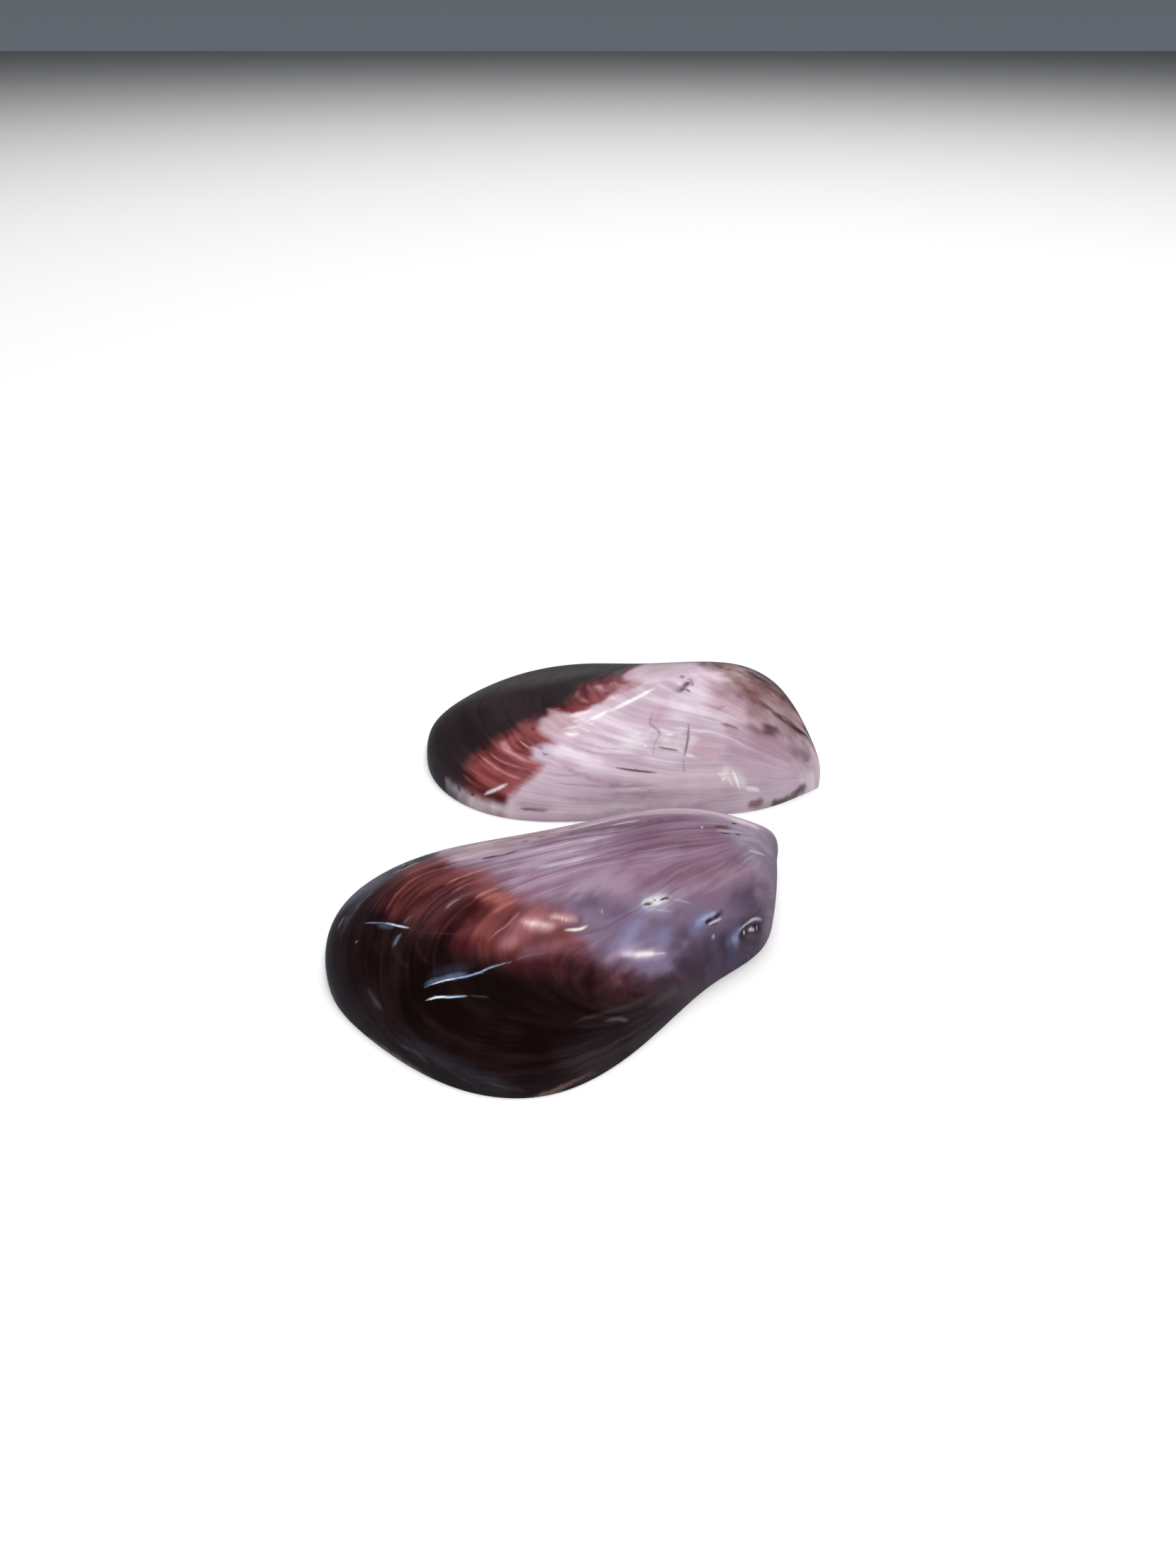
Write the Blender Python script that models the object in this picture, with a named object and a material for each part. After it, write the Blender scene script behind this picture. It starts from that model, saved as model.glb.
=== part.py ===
"""The two empty valves of one mussel shell, lying side by side with the hollow down.

Metres, +Z up. The origin is on the ground under the middle of the pair.
The right valve is made first, its beak at the front (+X) and its hinge side at +Y.
The left valve is its mirror image.
"""
import math

import bmesh
import bpy
import numpy as np
from mathutils import Matrix, Vector

MM = 0.001

# One valve. It is cut by stations across its length, spaced like the hours of a
# clock face seen edge on, so they crowd towards both ends.
LENGTH = 75 * MM
WALL = 1.4 * MM

# Margin, in mm across the length, from the beak to the hind end
VENTRAL_EDGE = (-5.6, -9.3, -19.9, -23.7, -28.9, -30.7, -23.7, -11.2, -0.9)
HINGE_EDGE = (-5.6, -1.8, 5.2, 10.0, 15.5, 19.1, 16.7, 9.3, -0.9)

# Height of the dome, in mm, before it is rounded down towards both ends
CROWN = (18.3, 20.1, 21.2, 14.0, 10.1, 12.3, 14.0)
END_ROUNDING = 0.8

# How the dome falls to each edge at the beak, the middle and the hind end:
# a small power is a steep side, a large one a slope
HINGE_FALL = (0.85, 0.59, 0.32)
VENTRAL_FALL = (0.30, 0.53, 0.60)

# Facets of one valve, along it and across it
STATIONS = 36
STRIPS = 26

# Where each valve lies: middle of its length, and its turn on the ground
RIGHT_PLACE = (-4.5 * MM, -31.4 * MM)
RIGHT_TURN = math.radians(24.7)
LEFT_PLACE = (5.4 * MM, 4.5 * MM)
LEFT_TURN = math.radians(-16.1)


def clear_scene():
    for old in list(bpy.data.objects):
        bpy.data.objects.remove(old, do_unlink=True)


def smooth_curve(values, where, closed=False):
    """Cubic curve through evenly spaced values, read at places counted in steps."""
    values = np.asarray(values, float)
    count = len(values)
    before = np.roll(values, 1)
    after = np.roll(values, -1)
    pull = 6 * (before - 2 * values + after)
    system = 4 * np.eye(count) + np.roll(np.eye(count), 1, 0) + np.roll(np.eye(count), -1, 0)
    if not closed:
        for end in (0, -1):
            system[end] = np.eye(count)[end]
            pull[end] = 0
    bend = np.linalg.solve(system, pull)
    where = np.asarray(where, float)
    last = count if closed else count - 1
    first = np.minimum(np.floor(where).astype(int), last - 1)
    share = where - first
    second = (first + 1) % count
    rest = 1 - share
    straight = rest * values[first] + share * values[second]
    return straight + ((rest ** 3 - rest) * bend[first] + (share ** 3 - share) * bend[second]) / 6


def margin(turns):
    """Plan points of the margin: back along the hinge side up to pi, then forward again."""
    loop = HINGE_EDGE + VENTRAL_EDGE[-2:0:-1]
    across = smooth_curve(loop, turns / (2 * math.pi) * len(loop), closed=True) * MM
    along = LENGTH / 2 * np.cos(turns)
    return np.stack([along, across], axis=1)


def inward(turns):
    """Unit steps from the margin towards the middle of the valve."""
    step = 1e-4
    run = margin((turns + step) % (2 * math.pi)) - margin((turns - step) % (2 * math.pi))
    run /= np.linalg.norm(run, axis=1)[:, None]
    return np.stack([-run[:, 1], run[:, 0]], axis=1)


def dome(inset):
    """Grid of points over the valve, as rows across it, with the surface set in by a wall."""
    turns = np.linspace(0, math.pi, STATIONS + 1)
    hinge = margin(turns) + inset * inward(turns)
    opposite = (2 * math.pi - turns) % (2 * math.pi)
    ventral = margin(opposite) + inset * inward(opposite)
    ventral[0] = hinge[0]
    ventral[-1] = hinge[-1]
    share = turns / math.pi
    crown = smooth_curve(CROWN, share * (len(CROWN) - 1)) * MM - inset
    crown *= np.maximum(np.sin(turns), 0) ** END_ROUNDING
    crown[-1] = 0
    hinge_fall = smooth_curve(HINGE_FALL, share * 2)[:, None]
    ventral_fall = smooth_curve(VENTRAL_FALL, share * 2)[:, None]

    across = -np.cos(np.linspace(0, math.pi, STRIPS + 1))[None, :]
    ridge = (ventral_fall - hinge_fall) / (ventral_fall + hinge_fall)
    rise = (1 - across).clip(0) ** hinge_fall * (1 + across).clip(0) ** ventral_fall
    rise /= (1 - ridge) ** hinge_fall * (1 + ridge) ** ventral_fall

    points = np.zeros((STATIONS + 1, STRIPS + 1, 3))
    for axis in (0, 1):
        middle = (hinge[:, axis] + ventral[:, axis])[:, None] / 2
        reach = (hinge[:, axis] - ventral[:, axis])[:, None] / 2
        points[:, :, axis] = middle + reach * across
    points[:, :, 2] = crown[:, None] * rise
    return points


def add_skin(mesh, points):
    """Faces over a grid whose first and last rows are single points. Returns its rim in order."""
    front = mesh.verts.new(points[0, 0])
    back = mesh.verts.new(points[-1, 0])
    rows = [[mesh.verts.new(point) for point in row] for row in points[1:-1]]
    for row, following in zip(rows[:-1], rows[1:]):
        for k in range(STRIPS):
            mesh.faces.new((row[k], row[k + 1], following[k + 1], following[k]))
    for k in range(STRIPS):
        mesh.faces.new((front, rows[0][k + 1], rows[0][k]))
        mesh.faces.new((back, rows[-1][k], rows[-1][k + 1]))
    hinge_side = [row[-1] for row in rows]
    ventral_side = [row[0] for row in rows]
    return [front] + hinge_side + [back] + ventral_side[::-1]


def make_valve(name, mirrored, place, turn, colour, roughness):
    mesh = bmesh.new()
    outer_rim = add_skin(mesh, dome(0))
    inner_rim = add_skin(mesh, dome(WALL))
    for k in range(len(outer_rim)):
        mesh.faces.new((outer_rim[k - 1], outer_rim[k], inner_rim[k], inner_rim[k - 1]))
    if mirrored:
        bmesh.ops.scale(mesh, vec=(1, -1, 1), verts=mesh.verts)
    bmesh.ops.recalc_face_normals(mesh, faces=mesh.faces)

    shape = bpy.data.meshes.new(name)
    mesh.to_mesh(shape)
    mesh.free()
    shape.shade_smooth()
    shape.set_sharp_from_angle(angle=math.radians(50))
    valve = bpy.data.objects.new(name, shape)
    valve.location = (place[0], place[1], 0)
    valve.rotation_euler = (0, 0, turn)
    bpy.context.scene.collection.objects.link(valve)

    material = bpy.data.materials.new(name + "_shell")
    material.use_nodes = True
    finish = material.node_tree.nodes["Principled BSDF"].inputs
    finish["Base Color"].default_value = colour
    finish["Roughness"].default_value = roughness
    finish["Metallic"].default_value = 0.0
    shape.materials.append(material)
    return valve


def centre_on_origin(valves):
    """Move the pair so that the box around it stands over the origin."""
    bpy.context.view_layer.update()
    corners = [valve.matrix_world @ point.co for valve in valves for point in valve.data.vertices]
    low = Vector(min(corner[axis] for corner in corners) for axis in range(3))
    high = Vector(max(corner[axis] for corner in corners) for axis in range(3))
    middle = (low + high) / 2
    shift = Matrix.Translation((-middle.x, -middle.y, -low.z))
    for valve in valves:
        valve.matrix_world = shift @ valve.matrix_world


clear_scene()
right_valve = make_valve("right_valve", False, RIGHT_PLACE, RIGHT_TURN, (0.10, 0.035, 0.04, 1), 0.15)
left_valve = make_valve("left_valve", True, LEFT_PLACE, LEFT_TURN, (0.42, 0.30, 0.36, 1), 0.15)
centre_on_origin([right_valve, left_valve])
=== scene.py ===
import math

import bmesh
import bpy
import numpy as np
from mathutils import Matrix, Vector


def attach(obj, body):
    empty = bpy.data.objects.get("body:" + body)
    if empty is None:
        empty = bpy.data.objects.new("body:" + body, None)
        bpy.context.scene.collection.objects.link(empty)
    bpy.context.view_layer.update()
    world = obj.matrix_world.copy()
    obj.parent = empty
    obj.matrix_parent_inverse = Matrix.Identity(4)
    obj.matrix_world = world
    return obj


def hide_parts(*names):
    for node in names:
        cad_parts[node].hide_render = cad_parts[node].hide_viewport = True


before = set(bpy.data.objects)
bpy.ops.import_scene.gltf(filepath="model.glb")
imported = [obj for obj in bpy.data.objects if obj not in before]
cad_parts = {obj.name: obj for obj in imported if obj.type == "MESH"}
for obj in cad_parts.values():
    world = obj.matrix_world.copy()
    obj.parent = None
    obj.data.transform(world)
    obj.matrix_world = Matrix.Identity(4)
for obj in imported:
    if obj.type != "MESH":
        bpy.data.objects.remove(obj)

bpy.ops.object.select_all(action="DESELECT")
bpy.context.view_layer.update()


# Right valve
# One half of a blue mussel's shell, lying on its rim with the hollow down. It is chalk
# laid down by the animal in layers, 1.4 mm thick, ground and polished so that the dark
# outer layer is worn through to the mauve one towards the beak.

# Plan points are in mm: x from the hind end (-37.5) to the beak (37.5), y to the hinge.
LENGTH = 75.0
VENTRAL_EDGE = (-5.6, -9.3, -19.9, -23.7, -28.9, -30.7, -23.7, -11.2, -0.9)
HINGE_EDGE = (-5.6, -1.8, 5.2, 10.0, 15.5, 19.1, 16.7, 9.3, -0.9)
# Height of the dome, before it is rounded down towards both ends
CROWN = (18.3, 20.1, 21.2, 14.0, 10.1, 12.3, 14.0)
END_ROUNDING = 0.8
# Powers of the fall to each edge at the beak, the middle and the hind end
HINGE_FALL = (0.85, 0.59, 0.32)
VENTRAL_FALL = (0.30, 0.53, 0.60)
# How far the inside lies under the grown surface, and how much was ground off the outside
WALL = 1.4
GROUND = 0.08


def smooth_curve(values, where, closed=False):
    """Cubic curve through evenly spaced values, read at places counted in steps."""
    values = np.asarray(values, float)
    count = len(values)
    pull = 6 * (np.roll(values, 1, 0) - 2 * values + np.roll(values, -1, 0))
    system = 4 * np.eye(count) + np.roll(np.eye(count), 1, 0) + np.roll(np.eye(count), -1, 0)
    if not closed:
        for end in (0, -1):
            system[end] = np.eye(count)[end]
            pull[end] = 0
    bend = np.linalg.solve(system, pull)
    where = np.asarray(where, float)
    last = count if closed else count - 1
    first = np.minimum(np.floor(where).astype(int), last - 1)
    share = where - first
    if values.ndim > 1:
        share = share[:, None]
    second = (first + 1) % count
    rest = 1 - share
    straight = rest * values[first] + share * values[second]
    return straight + ((rest ** 3 - rest) * bend[first] + (share ** 3 - share) * bend[second]) / 6


def margin(turns):
    """Plan points of the margin: back along the hinge side up to pi, then forward again."""
    loop = HINGE_EDGE + VENTRAL_EDGE[-2:0:-1]
    across = smooth_curve(loop, turns / (2 * math.pi) * len(loop), closed=True)
    return np.stack([LENGTH / 2 * np.cos(turns), across], axis=1)


def inward(turns):
    """Unit steps from the margin towards the middle of the valve."""
    step = 1e-4
    run = margin((turns + step) % (2 * math.pi)) - margin((turns - step) % (2 * math.pi))
    run /= np.linalg.norm(run, axis=1)[:, None]
    return np.stack([-run[:, 1], run[:, 0]], axis=1)


def dome(turns, across, inset=0.0):
    """Points of the dome: turns from the beak (0) to the hind end (pi), across from -1 to 1."""
    hinge = margin(turns) + inset * inward(turns)
    opposite = (2 * math.pi - turns) % (2 * math.pi)
    ventral = margin(opposite) + inset * inward(opposite)
    hind = turns > math.pi - 1e-6
    tip = (turns < 1e-6) | hind
    ventral[tip] = hinge[tip]
    share = turns / math.pi
    crown = smooth_curve(CROWN, share * (len(CROWN) - 1)) - inset
    crown *= np.sin(turns).clip(0) ** END_ROUNDING
    crown[hind] = 0
    hinge_fall = smooth_curve(HINGE_FALL, share * 2)
    ventral_fall = smooth_curve(VENTRAL_FALL, share * 2)
    ridge = (ventral_fall - hinge_fall) / (ventral_fall + hinge_fall)
    rise = (1 - across).clip(0) ** hinge_fall * (1 + across).clip(0) ** ventral_fall
    rise /= (1 - ridge) ** hinge_fall * (1 + ridge) ** ventral_fall
    plan = (hinge + ventral) / 2 + (hinge - ventral) / 2 * across[:, None]
    return np.column_stack([plan, crown * rise])


def read(data, name, width=1, kind=float):
    """One property of all vertices, corners or faces, as rows of the given width."""
    values = np.zeros(len(data) * width, kind)
    data.foreach_get(name, values)
    return values.reshape(-1, width) if width > 1 else values


# Cells of the mesh along a valve and across it
STATIONS = 100
STRIPS = 80


def add_skin(name, inset):
    """A grid bent over the dome; its two ends are drawn together into single points."""
    bpy.ops.mesh.primitive_grid_add(x_subdivisions=STATIONS, y_subdivisions=STRIPS, size=2)
    skin = bpy.context.object
    skin.name = name
    grid = read(skin.data.vertices, "co", 3)
    turns = (math.pi / 2 * (1 - grid[:, 0])).clip(0, math.pi)
    across = np.sin(math.pi / 2 * grid[:, 1])
    skin.data.vertices.foreach_set("co", dome(turns, across, inset).ravel())
    bpy.ops.object.mode_set(mode="EDIT")
    bpy.ops.mesh.remove_doubles(threshold=1e-4)
    if inset == WALL:
        bpy.ops.mesh.flip_normals()
    bpy.ops.object.mode_set(mode="OBJECT")
    return skin


def rim_loops(mesh):
    """The open edges as two rings of vertices from the beak on, the outer ring first."""
    left = {edge for edge in mesh.edges if edge.is_boundary}
    order = [edge for edge in mesh.edges if edge.is_boundary]
    rims = []
    while order:
        first = order.pop()
        left.discard(first)
        loop = [first.verts[0], first.verts[1]]
        while loop[-1] != loop[0]:
            step = next(edge for edge in loop[-1].link_edges if edge in left)
            left.discard(step)
            loop.append(step.other_vert(loop[-1]))
        order = [edge for edge in order if edge in left]
        loop.pop()
        plan = [(point.co.x, point.co.y) for point in loop]
        area = sum(a[0] * b[1] - b[0] * a[1] for a, b in zip(plan, plan[1:] + plan[:1]))
        if area < 0:
            loop.reverse()
        front = max(range(len(loop)), key=lambda k: loop[k].co.x)
        rims.append(loop[front:] + loop[:front])
    return sorted(rims, key=lambda loop: -loop[0].co.x)


def points(flat):
    """A flat row of numbers as plan points."""
    return np.array(flat, float).reshape(-1, 2)


# The mesh is cut once more under strokes finer than this, and this far beside them
FINE_STROKE = 0.21
FINE_SIDE = 0.15


def add_valve(name, strokes):
    """Outer and inner skin, joined by the flat rim; the outer one is then cut finer,
    and finer again along the small marks."""
    outer = add_skin(name, GROUND)
    inner = add_skin(name + "_inside", WALL)
    for part in ("_outside", "_nacre"):
        material = bpy.data.materials.new(name + part)
        outer.data.materials.append(material)
        inner.data.materials.append(material)
    inner.data.polygons.foreach_set("material_index", np.ones(len(inner.data.polygons), int))
    outer.select_set(True)
    inner.select_set(True)
    bpy.context.view_layer.objects.active = outer
    bpy.ops.object.join()
    mesh = bmesh.new()
    mesh.from_mesh(outer.data)
    outer_rim, inner_rim = rim_loops(mesh)
    for k in range(len(outer_rim)):
        face = mesh.faces.new((outer_rim[k], outer_rim[k - 1], inner_rim[k - 1], inner_rim[k]))
        face.material_index = 1
    mesh.to_mesh(outer.data)
    mesh.free()
    bpy.ops.object.mode_set(mode="EDIT")
    bpy.ops.mesh.select_all(action="DESELECT")
    outer.active_material_index = 0
    bpy.ops.object.material_slot_select()
    bpy.ops.mesh.subdivide(number_cuts=2)
    bpy.ops.mesh.select_all(action="DESELECT")
    bpy.ops.object.mode_set(mode="OBJECT")
    faces = outer.data.polygons
    middle = np.array([face.center[:2] for face in faces])
    near = np.zeros(len(faces), bool)
    for stroke in strokes:
        width = stroke[3]
        if width < FINE_STROKE:
            near |= reach(middle, points(stroke[6:]))[0] < width + FINE_SIDE
    near &= read(faces, "material_index", kind=int) == 0
    faces.foreach_set("select", near)
    bpy.ops.object.mode_set(mode="EDIT")
    bpy.ops.mesh.subdivide(number_cuts=1)
    bpy.ops.object.mode_set(mode="OBJECT")
    return outer


def linear(colour):
    """A colour given on a 0 to 255 scale, as light."""
    share = np.asarray(colour, float) / 255
    return np.where(share <= 0.04045, share / 12.92, ((share + 0.055) / 1.055) ** 2.4)


def reach(plan, line, closed=False):
    """Distance in mm from every plan point to a line, and how far along it the foot lies."""
    ends = np.roll(line, -1, 0) if closed else line[1:]
    best = np.full(len(plan), 1e9)
    way = np.zeros(len(plan))
    for k, (start, end) in enumerate(zip(line, ends)):
        run = end - start
        along = ((plan - start) @ run / max(run @ run, 1e-9)).clip(0, 1)
        gap = np.linalg.norm(plan - start - along[:, None] * run, axis=1)
        closer = gap < best
        best[closer] = gap[closer]
        way[closer] = (k + along[closer]) / len(ends)
    return best, way


def inside(plan, outline):
    """Which plan points lie within a closed outline."""
    hit = np.zeros(len(plan), bool)
    for a, b in zip(outline, np.roll(outline, -1, 0)):
        if a[1] == b[1]:
            continue
        span = (plan[:, 1] < a[1]) != (plan[:, 1] < b[1])
        cross = a[0] + (plan[:, 1] - a[1]) / (b[1] - a[1]) * (b[0] - a[0])
        hit ^= span & (plan[:, 0] < cross)
    return hit


def smoothed(share):
    """From 0 to 1 with a soft start and a soft end."""
    share = share.clip(0, 1)
    return share * share * (3 - 2 * share)


def mottle(places, seed):
    """Smooth noise from -1 to 1 over places of two or three numbers."""
    table = np.random.default_rng(seed).uniform(-1, 1, 4096)
    cell = np.floor(places).astype(int)
    share = smoothed(places - cell)
    total = np.zeros(len(places))
    size = places.shape[1]
    primes = (73856093, 19349663, 83492791)[:size]
    for corner in range(2 ** size):
        offset = np.array([corner >> axis & 1 for axis in range(size)])
        weight = np.prod(np.where(offset, share, 1 - share), axis=1)
        spot = ((cell + offset) * primes).sum(1) % len(table)
        total += weight * table[spot]
    return total


def combed(age, plan, *parts):
    """Noise drawn out along the growth lines, as a sum of parts. Each has its strength,
    its fineness across the lines and along them, and its seed."""
    return sum(strength * mottle(np.column_stack([age * across, plan * along]), seed)
               for strength, across, along, seed in parts)


def shifts(plan, size, seed):
    """A smooth random shift in mm for every plan point."""
    return size * np.column_stack([mottle(plan, seed), mottle(plan, seed + 1)])


def firmness(plan, quiet):
    """How plainly the growth lines show: 1 in most places, down to 0 in the quiet ones."""
    firm = np.ones(len(plan))
    for x, y, wide, high in quiet:
        gap = np.hypot((plan[:, 0] - x) / wide, (plan[:, 1] - y) / high)
        firm *= smoothed(gap * 1.4 - 0.5)
    return firm


def growth_age(plan, pole, lines, turns):
    """Age of the shell at plan points, 0 at the beak and 6 at the margin, and its slope.

    The lines are growth lines of age 1 to 5, from the ventral side of the beak round the
    hind end to its hinge side. Between them the age is a thin plate bent along them, and
    it may miss them by a little, the more so the greater the looseness.
    """
    looseness = 2.0
    known = [np.array([pole])]
    ages = [0.0]
    for age, line in enumerate(lines, 1):
        stops = np.vstack([pole, points(line), pole])
        line_points = smooth_curve(stops, np.linspace(0, 10, 41))[2:-2]
        known.append(line_points)
        ages += [age] * len(line_points)
    edge = margin(smooth_curve(turns, np.linspace(0, 10, 81)) * math.pi / 8 % (2 * math.pi))
    known = np.concatenate(known + [edge])
    ages += [6] * len(edge)
    count = len(known)

    def squares(first, second):
        return ((first[:, None] - second[None]) ** 2).sum(2) + 1e-9

    gap = squares(known, known)
    system = np.zeros((count + 3, count + 3))
    system[:count, :count] = gap * np.log(gap) / 2 + looseness * np.eye(count)
    system[:count, count:] = np.column_stack([np.ones(count), known])
    system[count:, :count] = system[:count, count:].T
    weight = np.linalg.solve(system, np.concatenate([ages, np.zeros(3)]))
    age = np.zeros(len(plan))
    slope = np.zeros((len(plan), 2))
    batch = 10000
    for start in range(0, len(plan), batch):
        part = slice(start, start + batch)
        gap = squares(plan[part], known)
        log = np.log(gap)
        age[part] = gap * log / 2 @ weight[:count] + weight[count] + plan[part] @ weight[count + 1:]
        pull = (log + 1) * weight[:count]
        slope[part] = pull.sum(1)[:, None] * plan[part] - pull @ known + weight[count + 1:]
    return age, slope


def lay_colours(plan, age, slope, firm, base, washes, strokes):
    """Colours over plan points: broad washes in two tones, then single strokes, some of which are painted
    glints and sheens.

    Both are combed along the growth lines, the way the layers of a ground shell show.
    """
    course = np.stack([-slope[:, 1], slope[:, 0]], axis=1)
    course /= np.linalg.norm(course, axis=1)[:, None] + 0.02
    loose = plan * (0.12 + 0.3 * smoothed(1.6 - age))[:, None]
    comb_noise = combed(age, loose, (0.6, 5, 1, 2), (0.5, 11, 1.5, 3), (0.4, 23, 2, 4))
    feather = combed(age, loose, (0.6, 9, 1.6, 5), (0.5, 21, 2.4, 6)) + 0.4 * mottle(plan * 0.8, 7)
    tone = combed(age, loose, (0.5, 2.6, 0.6, 21), (0.5, 7.3, 1, 22), (0.4, 19, 1.5, 23))
    tone += 0.3 * mottle(plan * 0.35, 24)
    calm = 0.7 * mottle(plan * (0.22, 0.5), 25) + 0.5 * mottle(plan * (0.6, 1.3), 26)
    tone = smoothed(0.5 + 0.8 * (calm + (tone - calm) * firm))[:, None]
    rough = plan * (0.5, 1.2)
    ragged = shifts(rough, 0.8, 31) + shifts(rough * 2.4, 0.5, 33)
    drift = course * (comb_noise * firm)[:, None] + ragged * (1 - firm)[:, None]
    feather *= 0.4 + 0.6 * firm
    wobble = shifts(plan * 0.9, 0.10, 11) + shifts(plan * 2.7, 0.05, 13)
    patchy = 0.8 + 0.3 * mottle(plan * 0.9, 15) + 0.2 * feather

    def two_tones(first, second):
        return linear(first) + (linear(second) - linear(first)) * tone

    paint = two_tones(base[:3], base[3:])
    for wash in washes:
        edge, comb, strength = wash[6:9]
        outline = points(wash[9:])
        spot = plan + comb * drift
        depth = reach(spot, outline, closed=True)[0]
        depth[~inside(spot, outline)] *= -1
        cover = strength * smoothed(depth / edge / 2 + 0.5 + 0.16 * feather)
        paint += (two_tones(wash[:3], wash[3:6]) - paint) * cover[:, None]
    for stroke in strokes:
        width, comb, strength = stroke[3:6]
        line = points(stroke[6:])
        if len(line) > 2:
            line = smooth_curve(line, np.linspace(0, len(line) - 1, len(line) * 4 - 3))
        gap, way = reach(plan + comb * drift + wobble * min(1, width * 3), line)
        length = np.linalg.norm(np.diff(line, axis=0), axis=1).sum()
        taper = 1 - np.abs(2 * way - 1) ** 4 * min(1, length / width / 5)
        gap = gap / (width * (0.4 + 0.6 * taper))
        cover = strength * np.exp(-gap ** (2 if comb else 3)) * (0.2 + 0.8 * taper)
        if comb:
            cover *= patchy.clip(0.3, 1.1)
        paint += (linear(stroke[:3]) - paint) * cover[:, None]
    return paint.clip(0, 1)


def finish_valve(valve, pole, lines, turns, quiet, base, washes, strokes, dents, satin,
                 mirrored, place, turn):
    """Lays the fine outer surface, its relief and its colours on a valve, then places it.

    Satin holds the dullness of dark and of pale shell. The mesh is in mm until it is placed.
    """
    shape = valve.data
    count = len(shape.vertices)
    corner_face = np.repeat(read(shape.polygons, "material_index", kind=int),
                            read(shape.polygons, "loop_total", kind=int))
    outer_corner = corner_face == 0
    corner_vertex = read(shape.loops, "vertex_index", kind=int)[outer_corner]
    vertex_place = np.zeros((count, 2))
    vertex_place[corner_vertex] = read(shape.uv_layers.active.data, "uv", 2)[outer_corner]
    outer = np.zeros(count, bool)
    outer[corner_vertex] = True
    spots = read(shape.vertices, "co", 3)

    turns_at = math.pi * (1 - vertex_place[outer, 0])
    across = -np.cos(math.pi * vertex_place[outer, 1])
    skin = dome(turns_at, across, GROUND)
    step = 1e-3
    ahead = dome((turns_at + step).clip(0, math.pi), across)
    ahead -= dome((turns_at - step).clip(0, math.pi), across)
    aside = dome(turns_at, (across + step).clip(-1, 1)) - dome(turns_at, (across - step).clip(-1, 1))
    normal = np.cross(aside, ahead)
    normal *= np.sign(normal[:, 2:] + 1e-12)
    normal /= np.linalg.norm(normal, axis=1)[:, None] + 1e-12
    plan = skin[:, :2]

    age, slope = growth_age(plan, pole, lines, turns)
    firm = firmness(plan, quiet)
    paint = lay_colours(plan, age, slope, firm, base, washes, strokes)
    relief = combed(age, plan, (0.008, 3, 0.03, 5)) - 0.008
    relief += combed(age, plan, (0.001, 11, 0.05, 6)) - 0.001
    wear = satin[0] + (satin[1] - satin[0]) * smoothed(paint.mean(1) * 8 - 0.2)
    for depth, width, *line in dents:
        gap = reach(plan, points(line))[0] + 0.12 * mottle(plan * 2.5, 8)
        cover = smoothed(1.2 - gap / width)
        relief -= depth * cover
        wear = np.maximum(wear, cover * min(1, abs(depth) * 5))
    relief *= smoothed((1 - np.abs(across)) * 12)
    spots[outer] = skin + normal * relief[:, None]

    grown = np.column_stack([spots[:, :2], np.zeros(count)])
    grown[outer, 2] = age
    colours = np.ones((count, 4))
    colours[:, :3] = linear((190, 185, 195))
    colours[outer, :3] = paint
    colours[outer, 3] = wear
    plain = np.ones(count)
    plain[outer] = firm
    # the layers colour holds the painted glints, sheens and reflections as well as the shell's own colours
    for name, kind, key, values in (
        ("firm", "FLOAT", "value", plain),
        ("growth", "FLOAT_VECTOR", "vector", grown),
        ("layers", "FLOAT_COLOR", "color", colours),
    ):
        shape.attributes.new(name, kind, "POINT").data.foreach_set(key, values.ravel())

    if mirrored:
        spots[:, 1] *= -1
        shape.flip_normals()
    cos, sin = math.cos(turn), math.sin(turn)
    placed = np.column_stack([
        place[0] + spots[:, 0] * cos - spots[:, 1] * sin,
        place[1] + spots[:, 0] * sin + spots[:, 1] * cos,
        spots[:, 2],
    ])
    shape.vertices.foreach_set("co", (placed * 0.001).ravel())
    shape.update()
    bpy.ops.object.select_all(action="DESELECT")
    valve.select_set(True)
    bpy.context.view_layer.objects.active = valve
    bpy.ops.object.shade_smooth_by_angle(angle=math.radians(50))


RIGHT_POLE = (34.4, -9.2)
RIGHT_LINES = (
    (32.3, -11.3, 29.8, -13.3, 26.5, -15.2, 22.3, -17.1, 17.5, -19, 17.5, -20.5, 21.1, -20.6, 26.5, -18.1,
     31.5, -13.8),
    (31.9, -11, 28.2, -13.8, 19, -17.4, 5.7, -18.5, -4.7, -21, -3.9, -24.8, 2.8, -26, 15, -22.3, 29, -16.5),
    (31.5, -10.8, 26.3, -13.3, 12.3, -13.1, -5.2, -5.6, -16, -10.8, -13.1, -20.8, -2.2, -27.1, 13.2, -23.4,
     28.6, -17.3),
    (31.2, -10.1, 24, -11.9, 7.8, -6.7, -13.5, 1.7, -26, -7.1, -23.7, -20.4, -6.8, -28.3, 11.5, -24.2, 28.2,
     -17.9),
    (31.2, -8.8, 22.8, -8.8, 3.2, 1.2, -18.9, 9, -31.4, -6.7, -27, -22.1, -10.6, -30, 9.8, -25.1, 28.1,
     -18.5),
)
# places of the edge's eleven stops, in eighths of half the way round the margin
RIGHT_EDGE_TURNS = (-1, 0.4, 2.0, 4.0, 5.8, 8.2, 9.9, 11.15, 12.6, 14.2, 15)
# x, y, half width and half height of the places where the growth lines fade
RIGHT_QUIET = (
    (1.5, -12, 8, 6),
    (34, -5, 8, 8),
    (1, -21.5, 11, 5),
    (15, -20.8, 10, 4),
    (12, -26, 12, 3.5),
    (30, -12, 10, 8),
    (27, 3, 8, 6),
)
RIGHT_BASE = (168, 143, 162, 132, 101, 122)
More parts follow.
